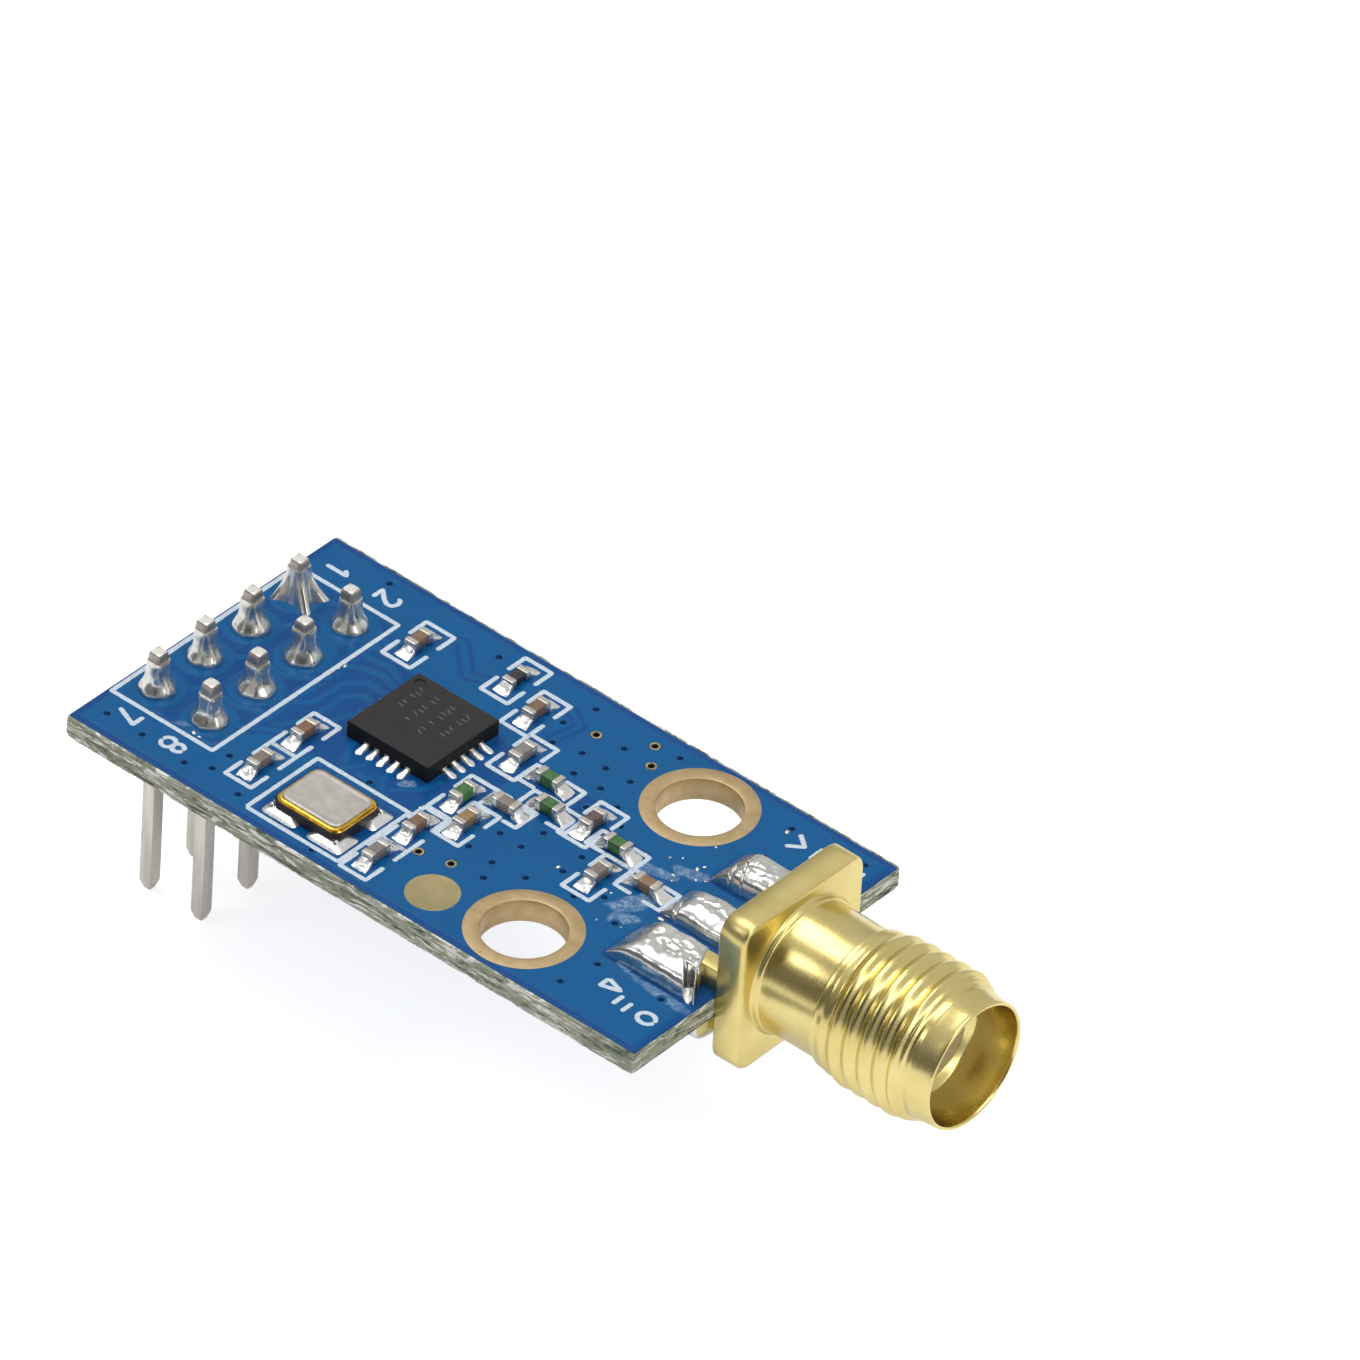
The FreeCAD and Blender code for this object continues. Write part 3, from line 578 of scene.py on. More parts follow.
def copies(name, pattern, places, material, shake=0.0, shake_size=1.0, sharp=40, build=build_copies, **more):
    """Sets a pattern mesh on places given as (x, y, z, turn in degrees, (sx, sy, sz)).
    Where sharp is None, the sharp edges of the pattern stay as they are."""
    start = bpy.data.meshes.new(name + " places")
    start.from_pydata([[c * mm for c in place[:3]] for place in places], [], [])
    turn = start.attributes.new("turn", "FLOAT", "POINT")
    turn.data.foreach_set("value", [math.radians(place[3]) for place in places])
    size = start.attributes.new("size", "FLOAT_VECTOR", "POINT")
    size.data.foreach_set("vector", [c for place in places for c in place[4]])
    model = bpy.data.objects.new(name + " pattern", pattern)
    bpy.context.scene.collection.objects.link(model)
    mesh = grown(name, build, start, {
        "Pattern": model, "Finish": material, "Shake": shake * mm, "Shake size": shake_size * mm, **more})
    bpy.data.objects.remove(model)
    mesh.shade_smooth()
    if sharp is not None:
        mesh.set_sharp_from_angle(angle=math.radians(sharp))
    return mesh


plain = (1.0, 1.0, 1.0)
rim_profile = [
    (0.125, -0.9), (0.125, 0.03), (0.14, 0.048), (0.21, 0.048), (0.225, 0.03), (0.225, 0.0),
    (0.15, 0.0), (0.15, -0.9),
]
rim = mesh_from(turned(bmesh.new(), rim_profile, 0, 0, 28, closed=True), "via rim")
via_gold = finish("gold plate on a via", "#8d7d56", "#c9b98c", 0.3, (0.3, 0.5), 0.04, 0.002, 0.8)
rims = copies("via_rims", rim, [(x, y, board_top, 0, plain) for x, y in open_vias], via_gold)
place_piece(rims, via_gold, "land_gold")
bore_profile = [
    (0.0001, -0.2), (0.13, -0.2), (0.13, 0.03), (0.124, 0.04), (0.117, 0.03), (0.112, -0.17),
    (0.0001, -0.17),
]
# Painted shade: the bore is given a near-black finish for the dark inside a narrow hole.
via_bore_shade = finish("solder mask closing a via bore", "#0b0d10", "#14171b", 0.1, (0.5, 0.7), 0.04, 0.002)
bore = mesh_from(turned(bmesh.new(), bore_profile, 0, 0, 28), "via bore")
bores = copies("via_bores", bore, [(x, y, board_top, 0, plain) for x, y in open_vias], via_bore_shade)
place_piece(bores, via_bore_shade, "solder_mask_blue")
cup_profile = [
    (0.0001, -0.34), (0.15, -0.34), (0.15, -0.06), (0.29, -0.03), (0.29, -0.002), (0.275, 0.005),
    (0.2, 0.005), (0.165, -0.005), (0.14, -0.035), (0.105, -0.09), (0.06, -0.125), (0.0001, -0.14),
]
cup = mesh_from(turned(bmesh.new(), cup_profile, 0, 0, 24), "cup")
# The middle of each cup carries a share of painted shade for the lacquer.
radii = np.array([math.hypot(v.co.x, v.co.y) / mm for v in cup.vertices])
for label, amount in (("copper", np.ones(len(radii))), ("sag", np.clip((0.18 - radii) / 0.05, 0, 1))):
    cup.attributes.new(label, "FLOAT", "POINT").data.foreach_set("value", amount.astype(np.float32))
film_rise = mask_rise + copper_rise
above = [(x, y, board_top + film_rise, 0, (0.8, 0.8, 1.0)) for x, y in tented]
cups = copies("tented_vias", cup, above, mask_lacquer)
place_piece(cups, mask_lacquer, "solder_mask_blue")
under = [(x, y, -film_rise, 0, (1, 1, -1)) for x, y in tented]
cups = copies("tented_vias_under", cup, under, mask_lacquer)
cups.flip_normals()
place_piece(cups, mask_lacquer, "solder_mask_blue")


# Silkscreen: white epoxy ink pulled through a mesh, in 0.2 mm wide lines that
# stand a little proud, with rounded ends and slightly uneven sides. It frames
# the header, the crystal and every chip part, and numbers the end pins.
ink_width = 0.21
ink_rise = 0.03
frames = {
    "capacitor_1": (-14.14, 3.43, -12.78, 5.88), "resistor": (-10.17, 4.37, -8.89, 6.84),
    "capacitor_2": (-8.41, 3.45, -7.12, 5.85), "capacitor_3": (-7.12, 1.23, -5.81, 3.65),
    "inductor_1": (-5.8, 1.43, -3.5, 2.51), "inductor_2": (-7.09, -2.04, -5.84, 0.4),
    "capacitor_6": (-5.84, -0.76, -3.98, 0.4), "inductor_3": (-4.9, 0.26, -2.5, 1.36),
    "capacitor_7": (-6.02, -2.98, -4.78, -0.7), "capacitor_8": (-7.12, -4.5, -5.88, -2.15),
    "capacitor_9": (-7.12, -6.75, -5.88, -4.5), "capacitor_10": (-2.75, 0.15, -1.46, 2.54),
    "inductor_4": (-1.64, 0.42, 0.6, 1.36), "capacitor_11": (-0.67, -2.0, 0.62, 0.42),
    "capacitor_12": (0.65, -0.64, 2.78, 0.49), "capacitor_4": (-13.55, -3.3, -12.31, -0.94),
    "capacitor_5": (-13.55, -5.75, -12.31, -3.3),
}
lines = []
for name, (x0, y0, x1, y1) in frames.items():
    centre, size = part_boxes[name]
    if size[0] > size[1]:
        for end, side in ((x0, -1), (x1, 1)):
            start = centre[0] + side * 0.24
            lines.append([(start, y0), (end, y0), (end, y1), (start, y1)])
    else:
        for end, side in ((y0, -1), (y1, 1)):
            start = centre[1] + side * 0.24
            lines.append([(x0, start), (x0, end), (x1, end), (x1, start)])
lines.append([(-19.66, 5.0), (-14.74, 5.0), (-14.74, -5.14), (-19.66, -5.14), (-19.66, 5.0)])
lines.append([(-11.72, -6.66), (-7.29, -6.66), (-7.29, -2.79), (-11.72, -2.79), (-11.72, -6.66)])
around = np.linspace(0, 2 * math.pi, 17)
figures = {
    "1": [[(0.08, 0.74), (0.34, 1.0), (0.34, 0.0)]],
    "2": [[(0.02, 0.78), (0.12, 0.95), (0.34, 1.0), (0.55, 0.9),
           (0.58, 0.68), (0.42, 0.42), (0.04, 0.02), (0.62, 0.02)]],
    "7": [[(0.0, 1.0), (0.6, 1.0), (0.2, 0.0)]],
    "8": [[(0.3 + 0.23 * math.sin(a), 0.75 + 0.23 * math.cos(a)) for a in around],
          [(0.3 + 0.29 * math.sin(a), 0.27 - 0.27 * math.cos(a)) for a in around]],
}
for figure, x, y in (("1", -18.5, 5.85), ("2", -16.05, 5.9), ("7", -18.3, -5.75), ("8", -15.97, -5.9)):
    for stroke in figures[figure]:
        lines.append([(x - 0.5 + 1.0 * v, y + 0.3 - 1.0 * u) for u, v in stroke])
marks = [
    [(4.0, -4.75), (4.75, -5.0), (4.0, -5.25), (4.0, -4.75)], [(5.0, -5.1), (5.0, -5.75)],
    [(5.5, -5.2), (5.5, -5.85)], [(6.4 + 0.36 * math.cos(a), -5.5 + 0.3 * math.sin(a)) for a in around],
    [(3.6, 6.2), (4.2, 5.75), (3.6, 5.3)], [(4.75, 6.15), (4.75, 5.35)],
    [(5.6 + 0.3 * math.cos(a), 5.75 + 0.36 * math.sin(a)) for a in around], [(6.7, 6.15), (6.7, 5.4)],
]
lines += marks


def build_ink(tree, given):
    """Draws a low rounded bead along every run of edges, tapered to a round tip at its ends."""
    runs = add(tree, "GeometryNodeMeshToCurve", {"Mesh": given["Geometry"]})
    fine = add(tree, "GeometryNodeResampleCurve", {
        "Curve": runs, "Length": given["Step"]}, mode="LENGTH")
    soft = add(tree, "GeometryNodeSetCurveNormal", {"Curve": fine}, mode="Z_UP")
    at = add(tree, "GeometryNodeSplineParameter").outputs["Length"]
    whole = add(tree, "GeometryNodeSplineLength").outputs["Length"]
    rest = add(tree, "ShaderNodeMath", [whole, at], operation="SUBTRACT")
    near = add(tree, "ShaderNodeMath", [at, rest], operation="MINIMUM")
    radius = add(tree, "ShaderNodeMath", [given["Width"], 0.5], operation="MULTIPLY")
    share = add(tree, "ShaderNodeMath", [near, radius], operation="DIVIDE", use_clamp=True)
    back = add(tree, "ShaderNodeMath", [1.0, share], operation="SUBTRACT")
    square = add(tree, "ShaderNodeMath", [back, 2.0], operation="POWER")
    left = add(tree, "ShaderNodeMath", [1.04, square], operation="SUBTRACT")
    taper = add(tree, "ShaderNodeMath", [left, 0.5], operation="POWER")
    where = add(tree, "GeometryNodeInputPosition")
    spread = add(tree, "ShaderNodeTexNoise", {"Vector": where, "Scale": 1 / (0.25 * mm), "Detail": 2.0})
    uneven = add(tree, "ShaderNodeMapRange", {"Value": spread, "To Min": 0.8, "To Max": 1.2})
    wide = add(tree, "ShaderNodeMath", [taper, uneven], operation="MULTIPLY")
    circle = add(tree, "GeometryNodeCurvePrimitiveCircle", {"Resolution": 10, "Radius": 1.0})
    section = add(tree, "ShaderNodeCombineXYZ", {"X": radius, "Y": given["Rise"], "Z": 1.0})
    flat = add(tree, "GeometryNodeTransform", {"Geometry": circle, "Scale": section})
    return add(tree, "GeometryNodeCurveToMesh", {
        "Curve": soft, "Profile Curve": flat,
        "Scale": wide, "Fill Caps": True})


start = bpy.data.meshes.new("silkscreen runs")
points, edges = [], []
for line in lines:
    first = len(points)
    closing = np.allclose(line[0], line[-1])
    kept = line[:-1] if closing else line
    points += [(x * mm, y * mm, (board_top + mask_rise + 0.012) * mm) for x, y in kept]
    edges += [(first + i, first + i + 1) for i in range(len(kept) - 1)]
    edges += [(len(points) - 1, first)] if closing else []
start.from_pydata(points, edges, [])
# White epoxy ink: chalky, faintly blue where it is thin over the mask.
white_ink = finish("white epoxy ink", "#c3d4e4", "#e4eef6", 0.12, (0.5, 0.75), 0.05, 0.002)
ink = grown("silkscreen", build_ink, start, {
    "Finish": white_ink, "Width": ink_width * mm, "Rise": ink_rise * mm, "Step": 0.04 * mm})
ink.shade_smooth()
place_piece(ink, white_ink, "ptfe_white")


# Header: eight square pins of tinned brass, drawn and cut, pressed into a black
# moulded strip under the board. Their upper ends stick out of the solder, and
# its heat has dulled the tin there.
along_the_wire = (1, 1, 0.12)
pin_tin = finish("drawn wire with matte tin", "#c6bfb5", "#e6e0d8", 0.4, (0.28, 0.45), 0.05, 0.003, 0.85,
                 along_the_wire)
tree, shader, drawn = opened(pin_tin)
where = add(tree, "ShaderNodeTexCoord").outputs["Object"]
height = add(tree, "ShaderNodeSeparateXYZ", [where]).outputs["Z"]
heated = add(tree, "ShaderNodeMapRange", {
    "Value": height, "From Min": 0.9 * mm, "From Max": 1.3 * mm, "To Max": 0.6})
dulled = add(tree, "ShaderNodeMix", {
    "Factor": heated, "A_Color": drawn, "B_Color": paint("#8d877c")}, data_type="RGBA")
# Painted highlight: faces that point up, the pins' cut ends, are mixed towards near-white as if lit from
# above.
normal = add(tree, "ShaderNodeNewGeometry").outputs["Normal"]
facing = add(tree, "ShaderNodeSeparateXYZ", [normal]).outputs["Z"]
up_facing_share = add(tree, "ShaderNodeMapRange", {"Value": facing, "From Min": 0.75, "From Max": 0.95})
lit_pin_top = add(tree, "ShaderNodeMix", {
    "Factor": up_facing_share, "A_Color": dulled.outputs[2], "B_Color": paint("#f2efe8")}, data_type="RGBA")
tree.links.new(lit_pin_top.outputs[2], shader.inputs["Base Color"])
# Each level of a pin is a height over its lower end and a share of its width.
pin_levels = [
    (0.0, 0.5), (0.04, 0.6), (0.35, 0.98), (0.5, 1.0), (10.66, 1.0), (10.82, 0.98), (10.98, 0.92),
    (11.03, 0.88), (11.06, 0.8),
]
bent_above = 10.7


def squared_ring(x, y, z, r, power, count):
    """Points round a circle that swells towards a square as the power goes up from two."""
    turns = np.linspace(0, 2 * math.pi, count, endpoint=False)
    reach = r / (np.abs(np.cos(turns)) ** power + np.abs(np.sin(turns)) ** power) ** (1 / power)
    return [(x + q * math.cos(a), y + q * math.sin(a), z) for a, q in zip(turns, reach)]


for number in range(1, 9):
    low, high = in_mm(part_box(f"header_pin_{number}"))
    x, y = (low[:2] + high[:2]) / 2
    half_pin = (high[0] - low[0]) / 2
    lean = 0.02 * math.sin(2.4 * number)
    rod = skin(bmesh.new(), [
        squared_ring(x + lean * (rise > bent_above), y, low[2] + rise, half_pin * share, 9, 32)
        for rise, share in pin_levels])
    place_piece(mesh_from(rod, f"header_pin_wire_{number}", 50), pin_tin, "pin_tin", f"header_pin_{number}")
strip_nylon = finish("black nylon, moulded", "#141415", "#1d1d1e", 1.5, (0.4, 0.55), 0.08, 0.004)
coat(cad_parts["header_housing"].data, strip_nylon)


# Header solder: hollow cones of hand-fed solder that wet the pad and climb the
# pin. They have shrunk into flutes as they froze. The first joint was touched
# up with the iron, which drew its foot out into four points.
# Each level of a cone is a radius, a height and how square it is.
cone_profile = [
    (0.68, 0.0, 2.0), (0.71, 0.05, 2.0), (0.71, 0.12, 2.0), (0.675, 0.22, 2.0), (0.615, 0.33, 2.0),
    (0.555, 0.44, 2.0), (0.5, 0.56, 2.1), (0.455, 0.69, 2.3), (0.415, 0.84, 2.7), (0.39, 0.98, 3.3),
    (0.372, 1.14, 4.2), (0.356, 1.3, 5.5), (0.33, 1.38, 7.0), (0.2, 1.39, 4.0), (0.0001, 1.39, 2.0),
]
cone = skin(bmesh.new(), [squared_ring(0, 0, z, r, power, 64) for r, z, power in cone_profile])
solder = finish("tin solder, bright", "#dcdbd8", "#f4f3f1", 0.5, (0.16, 0.3), 0.16, 0.006, 0.85)
hand_solder = finish("tin solder, hand-fed", "#c9c7c1", "#ecebe6", 0.35, (0.14, 0.26), 0.2, 0.003, 0.92)
girths = (1.05, 1.0, 1.02, 1.0, 1.03, 1.05, 1.0)
heights = (1.0, 1.03, 1.02, 0.97, 1.02, 0.9, 0.94)
cone_places = [(x, y, board_top, 0, (girth, girth, height))
               for (x, y), girth, height in zip(pin_columns[1:], girths, heights)]


def build_cones(tree, given):
    """The copies of the cone, pulled into upright flutes that differ from one joint to the next."""
    made = build_copies(tree, given)
    where = add(tree, "GeometryNodeInputPosition")
    upright = add(tree, "ShaderNodeVectorMath", [where, (1, 1, 0.12)], operation="MULTIPLY")
    flutes = add(tree, "ShaderNodeTexNoise", {
        "Vector": upright, "Scale": 1 / (0.5 * mm), "Detail": 1.0})
    centred = add(tree, "ShaderNodeVectorMath", [
        flutes.outputs["Color"], (0.5, 0.5, 0.5)], operation="SUBTRACT")
    height = add(tree, "ShaderNodeSeparateXYZ", [where]).outputs["Z"]
    low_down = add(tree, "ShaderNodeMapRange", {
        "Value": height, "From Min": given["Flare top"], "From Max": given["Neck top"],
        "To Min": 1.0, "To Max": 0.2})
    pull = add(tree, "ShaderNodeMath", [given["Flute depth"], low_down], operation="MULTIPLY")
    deep = add(tree, "ShaderNodeVectorMath", {"Vector": centred, "Scale": pull}, operation="SCALE")
    level = add(tree, "ShaderNodeVectorMath", [deep, (1, 1, 0)], operation="MULTIPLY")
    return add(tree, "GeometryNodeSetPosition", {"Geometry": made, "Offset": level})


flutes = {"Flute depth": 0.2 * mm, "Flare top": float(board_top + 0.35) * mm,
          "Neck top": float(board_top + 0.95) * mm}
cones = copies("header_cones", mesh_from(cone, "cone"), cone_places, hand_solder,
               shake=0.01, shake_size=0.4, sharp=None, build=build_cones, **flutes)
place_piece(cones, hand_solder, "solder", "header_solder")


# The joint of the first pin: each point of its foot is a bearing in degrees and a reach in mm.
tips = ((-126, 1.04), (-31, 1.27), (30, 1.22), (118, 1.1))
foot_r, neck_r, tent_height, tip_spread = 0.64, 0.36, 1.42, 17
tent = []
for u in np.linspace(0, 1, 19):
    loop = []
    for a in np.linspace(0, 2 * math.pi, 96, endpoint=False):
        foot = foot_r
        for turn, reach in tips:
            off = (math.degrees(a) - turn + 180) % 360 - 180
            foot += (reach - foot_r) * math.exp(-(off / tip_spread) ** 2)
        neck = neck_r / (abs(math.cos(a)) ** 5 + abs(math.sin(a)) ** 5) ** 0.2
        crease = 0.05 * noise.noise(Vector((2 * math.cos(a), 2 * math.sin(a), 3)))
        r = neck + (foot - neck) * (1 - u) ** 1.75 + crease * (1 - u)
        loop.append((first_x + r * math.cos(a), first_y + r * math.sin(a), board_top + tent_height * u))
    tent.append(loop)
tent.append([((first_x + x) / 2, (first_y + y) / 2, z + 0.01) for x, y, z in tent[-1]])
place_piece(mesh_from(skin(bmesh.new(), tent), "header_solder_tent", 60), hand_solder, "solder")


# Radio chip: a flat leadless package of black moulding compound, sawn on its
# four sides, with a matt top that the laser has marked in faint grey dashes.
# Its sides are painted near-black as painted shade, since they turn away from
# the lamps. Its solder shows round the foot, one bright tab at every terminal.
chip_low, chip_high = in_mm(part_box("radio_chip"))
chip_centre = (chip_low + chip_high) / 2
moulding = finish("epoxy moulding compound", "#292726", "#322f2e", 0.3, (0.5, 0.7), 0.035, 0.003)
tree, shader, face_colour = opened(moulding)
# Painted shade: faces that turn away from up are mixed towards near-black, so the sides read darker than the
# top.
normal = add(tree, "ShaderNodeNewGeometry").outputs["Normal"]
facing = add(tree, "ShaderNodeSeparateXYZ", [normal]).outputs["Z"]
up = add(tree, "ShaderNodeMapRange", {"Value": facing, "From Min": 0.3, "From Max": 0.9})
side_shaded_moulding = add(tree, "ShaderNodeMix", {
    "Factor": up, "A_Color": paint("#171718"), "B_Color": face_colour}, data_type="RGBA")
tree.links.new(side_shaded_moulding.outputs[2], shader.inputs["Base Color"])
shader.inputs["Specular IOR Level"].default_value = 0.3
coat(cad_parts["radio_chip"].data, moulding)
laser_grey = finish("laser-burnt moulding compound", "#4d4a45", "#66625b", 0.1, (0.6, 0.8), 0.03, 0.003)
dash = bmesh.new()
bmesh.ops.create_cube(dash, size=1.0)
bmesh.ops.scale(dash, vec=(0.07, 0.26, 0.008), verts=dash.verts[:])
dashes = []
dash_pitch, group_gap = 0.24, 0.2
marked_rows = ((-1.2, (3, 2)), (-0.45, (2, 3, 1)), (0.3, (4, 1, 2)), (1.05, (3, 3)))
for row, (offset, groups) in enumerate(marked_rows):
    y = chip_centre[1] + 1.25
    for group in groups:
        for step in range(group):
            x = chip_centre[0] + offset + 0.05 * (step % 2)
            dashes.append((x, y, chip_high[2], 90 if (row + step) % 3 else 62, plain))
            y -= dash_pitch
        y -= group_gap
marks = copies("chip_marks", mesh_from(dash, "dash"), dashes, laser_grey, 0.03, 0.12)
place_piece(marks, laser_grey, "chip_moulding")
tab_length, half_tab, tab_start = 0.66, 0.15, -0.1


def signed_power(value, power):
    """A power that keeps the sign."""
    return math.copysign(abs(value) ** power, value)


tab_loops = []
for u in np.linspace(0, 1, 14):
    swell = math.sqrt(max(0.0, 1 - max(0, (u - 0.72) / 0.28) ** 2)) + 0.01
    height = (0.03 + 0.2 * (1 - u)) * (0.3 + 0.7 * swell)
    tab_loops.append([
        (tab_length * u + tab_start,
         half_tab * swell * math.cos(a),
         max(-0.01, height * signed_power(math.sin(a), 0.6)))
        for a in np.linspace(0, 2 * math.pi, 20, endpoint=False)])
tab = skin(bmesh.new(), tab_loops)
terminal_pitch, terminal_reach = 0.5, 1.95
tabs = []
for quarter in range(4):
    a = math.radians(90 * quarter)
    for step in range(5):
        across = (step - 2) * terminal_pitch
        x = chip_centre[0] + terminal_reach * math.cos(a) - across * math.sin(a)
        y = chip_centre[1] + terminal_reach * math.sin(a) + across * math.cos(a)
        tabs.append((x, y, board_top + 0.02, 90 * quarter, plain))
place_piece(copies("chip_solder_tabs", mesh_from(tab, "tab"), tabs, solder, 0.05, 0.25),
            solder, "solder", "radio_chip_solder")
terminal_tin = finish(
    "matte tin on copper terminals", "#b5aea2", "#cfc9be", 0.1, (0.3, 0.5), 0.04, 0.003, 1.0)
coat(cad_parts["radio_chip_terminals"].data, terminal_tin)


# Crystal: a quartz resonator in a dark ceramic tray. A gold-plated metal frame
# is brazed to the tray's rim, and a thin nickel lid is seam-welded on it, which
# leaves a fine dark line inside a bright gold edge.
ceramic_black = finish("alumina tray, dark", "#221a1e", "#352a2d", 0.4, (0.3, 0.5), 0.05, 0.003)
coat(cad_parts["crystal_base"].data, ceramic_black)
ring_low, ring_high = in_mm(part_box("crystal_seal_ring"))
lid_low, lid_high = in_mm(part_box("crystal_lid"))


def evenly(loop, count):
    """The same closed outline as a set number of points, all as far apart."""
    closed = np.vstack([loop, loop[:1]])
    lengths = np.concatenate([[0], np.cumsum(np.linalg.norm(np.diff(closed, axis=0), axis=1))])
    at = np.linspace(0, lengths[-1], count, endpoint=False)
    return [(np.interp(s, lengths, closed[:, 0]), np.interp(s, lengths, closed[:, 1])) for s in at]


def layered(bm, low, high, r, layers, step=0.06):
    """Stacks rounded rectangles: each layer is an inset and a height, in mm."""
    outlines = [rounded_outline(low[0] + inset, low[1] + inset, high[0] - inset, high[1] - inset,
                                max(0.05, r - inset), step) for inset, _ in layers]
    count = 4 * (min(len(outline) for outline in outlines) // 4)
    heights = [z for _, z in layers]
    return skin(bm, [[(x, y, z) for x, y in evenly(outline, count)] for outline, z in zip(outlines, heights)])


seal = layered(bmesh.new(), ring_low, ring_high, 0.4, [
    (0.02, ring_low[2] - 0.03), (-0.02, ring_low[2] - 0.02), (-0.03, ring_low[2] + 0.01),
    (0.0, ring_low[2] + 0.045), (0.05, ring_low[2] + 0.05), (0.05, ring_low[2] + 0.06),
    (0.03, ring_low[2] + 0.075), (0.04, ring_high[2] + 0.01),
    (0.09, ring_high[2] + 0.03), (0.15, ring_high[2] + 0.02)])
seal_gold = finish("gold plate on the seal frame", "#c99a2e", "#ecc955", 0.25, (0.12, 0.25), 0.06, 0.003, 1.0)
place_piece(mesh_from(seal, "crystal_gold_frame", 35), seal_gold, "crystal_gold", "crystal_seal_ring")
lid = layered(bmesh.new(), lid_low, lid_high, 0.36, [
    (0.02, lid_low[2] - 0.02), (0.0, lid_low[2] + 0.03), (0.015, lid_high[2] - 0.02), (0.05, lid_high[2]),
    (0.11, lid_high[2] + 0.004), (0.15, lid_high[2] - 0.006), (0.3, lid_high[2] - 0.004)])
lid_nickel = finish("nickel lid, satin", "#b9b3ac", "#cbc5be", 0.35, (0.38, 0.5), 0.05, 0.002, 0.75)
place_piece(mesh_from(lid, "crystal_cover", 35), lid_nickel, "crystal_lid", "crystal_lid")
tray_low, tray_high = in_mm(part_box("crystal_base"))
feet = bmesh.new()
for x0, y0, x1, y1 in crystal_pads:
    layered(feet, (x0, y0), (x1, y1), 0.16, [
        (0.0, board_top - 0.02), (0.0, board_top + 0.03), (0.04, board_top + 0.06), (0.15, board_top + 0.11),
        (0.3, board_top + 0.18), (0.42, board_top + 0.21)])
climb = [
    (0.0001, 0.0), (0.24, 0.0), (0.2, 0.07), (0.13, 0.14), (0.09, 0.26), (0.05, 0.3), (0.0001, 0.31),
]
for x in (tray_low[0] + 0.04, tray_high[0] - 0.04):
    for y in (tray_low[1] + 0.04, tray_high[1] - 0.04):
        turned(feet, [(r, board_top + z) for r, z in climb], x, y, 20)
place_piece(mesh_from(feet, "crystal_feet", 50), solder, "solder", "crystal_solder")


# Chip parts: twelve ceramic capacitors, four wound inductors moulded in green
# and one resistor, each 1.0 x 0.5 mm. The ends are dipped in tin, and solder
# runs down from every end on to its pad in a hollow, shiny slope.
tones = {
    "capacitor_1": ("#755d49", "#92775f"), "capacitor_2": ("#70573f", "#8e6f57"),
    "capacitor_3": ("#857b74", "#978d86"), "capacitor_4": ("#7a533f", "#926c54"),
    "capacitor_5": ("#776b61", "#8b7f75"), "capacitor_6": ("#7f756e", "#958a82"),
    "capacitor_7": ("#8a6d45", "#aa8a5c"), "capacitor_8": ("#755643", "#8e6c56"),
    "capacitor_9": ("#7c716a", "#92867e"), "capacitor_10": ("#5a4a46", "#715f5b"),
    "capacitor_11": ("#7a6e66", "#92867d"), "capacitor_12": ("#846446", "#a2825f"),
    "inductor_1": ("#2c5626", "#4b8440"), "inductor_2": ("#305a2a", "#528846"),
    "inductor_3": ("#2c5626", "#497f3e"), "inductor_4": ("#2c5526", "#4f8642"),
    "resistor": ("#232322", "#302f2e"),
}
grey_ones = ("capacitor_3", "capacitor_5", "capacitor_6", "capacitor_9", "capacitor_11")


def soft_block(bm, low, high, radius, steps=2):
    """A block with rounded edges between two corners."""
    made = bmesh.ops.create_cube(bm, size=1.0)["verts"]
    bmesh.ops.scale(bm, vec=[b - a for a, b in zip(low, high)], verts=made)
    bmesh.ops.translate(bm, vec=[(a + b) / 2 for a, b in zip(low, high)], verts=made)
    edges = list({e for v in made for e in v.link_edges})
    bmesh.ops.bevel(bm, geom=edges, offset=radius, segments=steps, profile=0.5, affect="EDGES",
                    clamp_overlap=True)
    return bm


for name, (dark, light) in tones.items():
    centre, size = part_boxes[name]
    kind = name.split("_")[0]
    body = soft_block(bmesh.new(), centre - size / 2, centre + size / 2, 0.035)
    ceramic = finish("fired ceramic of " + name, dark, light, 0.2, (0.3, 0.45), 0.04, 0.004)
    slot = {"inductor": "inductor_green", "resistor": "resistor_black"}.get(
        kind, "capacitor_grey" if name in grey_ones else "capacitor_brown")
    place_piece(mesh_from(body, name + "_body", 35), ceramic, slot, name)
cap = soft_block(bmesh.new(), (-0.13, -0.268, -0.01), (0.13, 0.268, 1.0), 0.05, 3)
cap_mesh = mesh_from(cap, "cap", 50)
cap_from_middle, end_from_middle = 0.4, 0.5
cap_places = []
fillet_places = []
for centre, size in part_boxes.values():
    along = size[0] > size[1]
    for side in (-1, 1):
        turn = (0 if along else 90) + (180 if side < 0 else 0)
        towards = np.array((side, 0) if along else (0, side))
        x, y = centre[:2] + cap_from_middle * towards
        cap_places.append((x, y, centre[2] - size[2] / 2 - 0.01, turn, (1, 1, size[2] + 0.03)))
        x, y = centre[:2] + end_from_middle * towards
        fillet_places.append((x, y, board_top + 0.015, turn, plain))
cap_tin = finish("tin dip on the chip ends", "#c4beb4", "#e0dcd4", 0.2, (0.2, 0.4), 0.05, 0.004, 0.9)
place_piece(copies("chip_part_ends", cap_mesh, cap_places, cap_tin, 0.03, 0.3),
            cap_tin, "pin_tin", "capacitor_end_caps", "inductor_end_caps", "resistor_end_caps")
fillet_loops = []
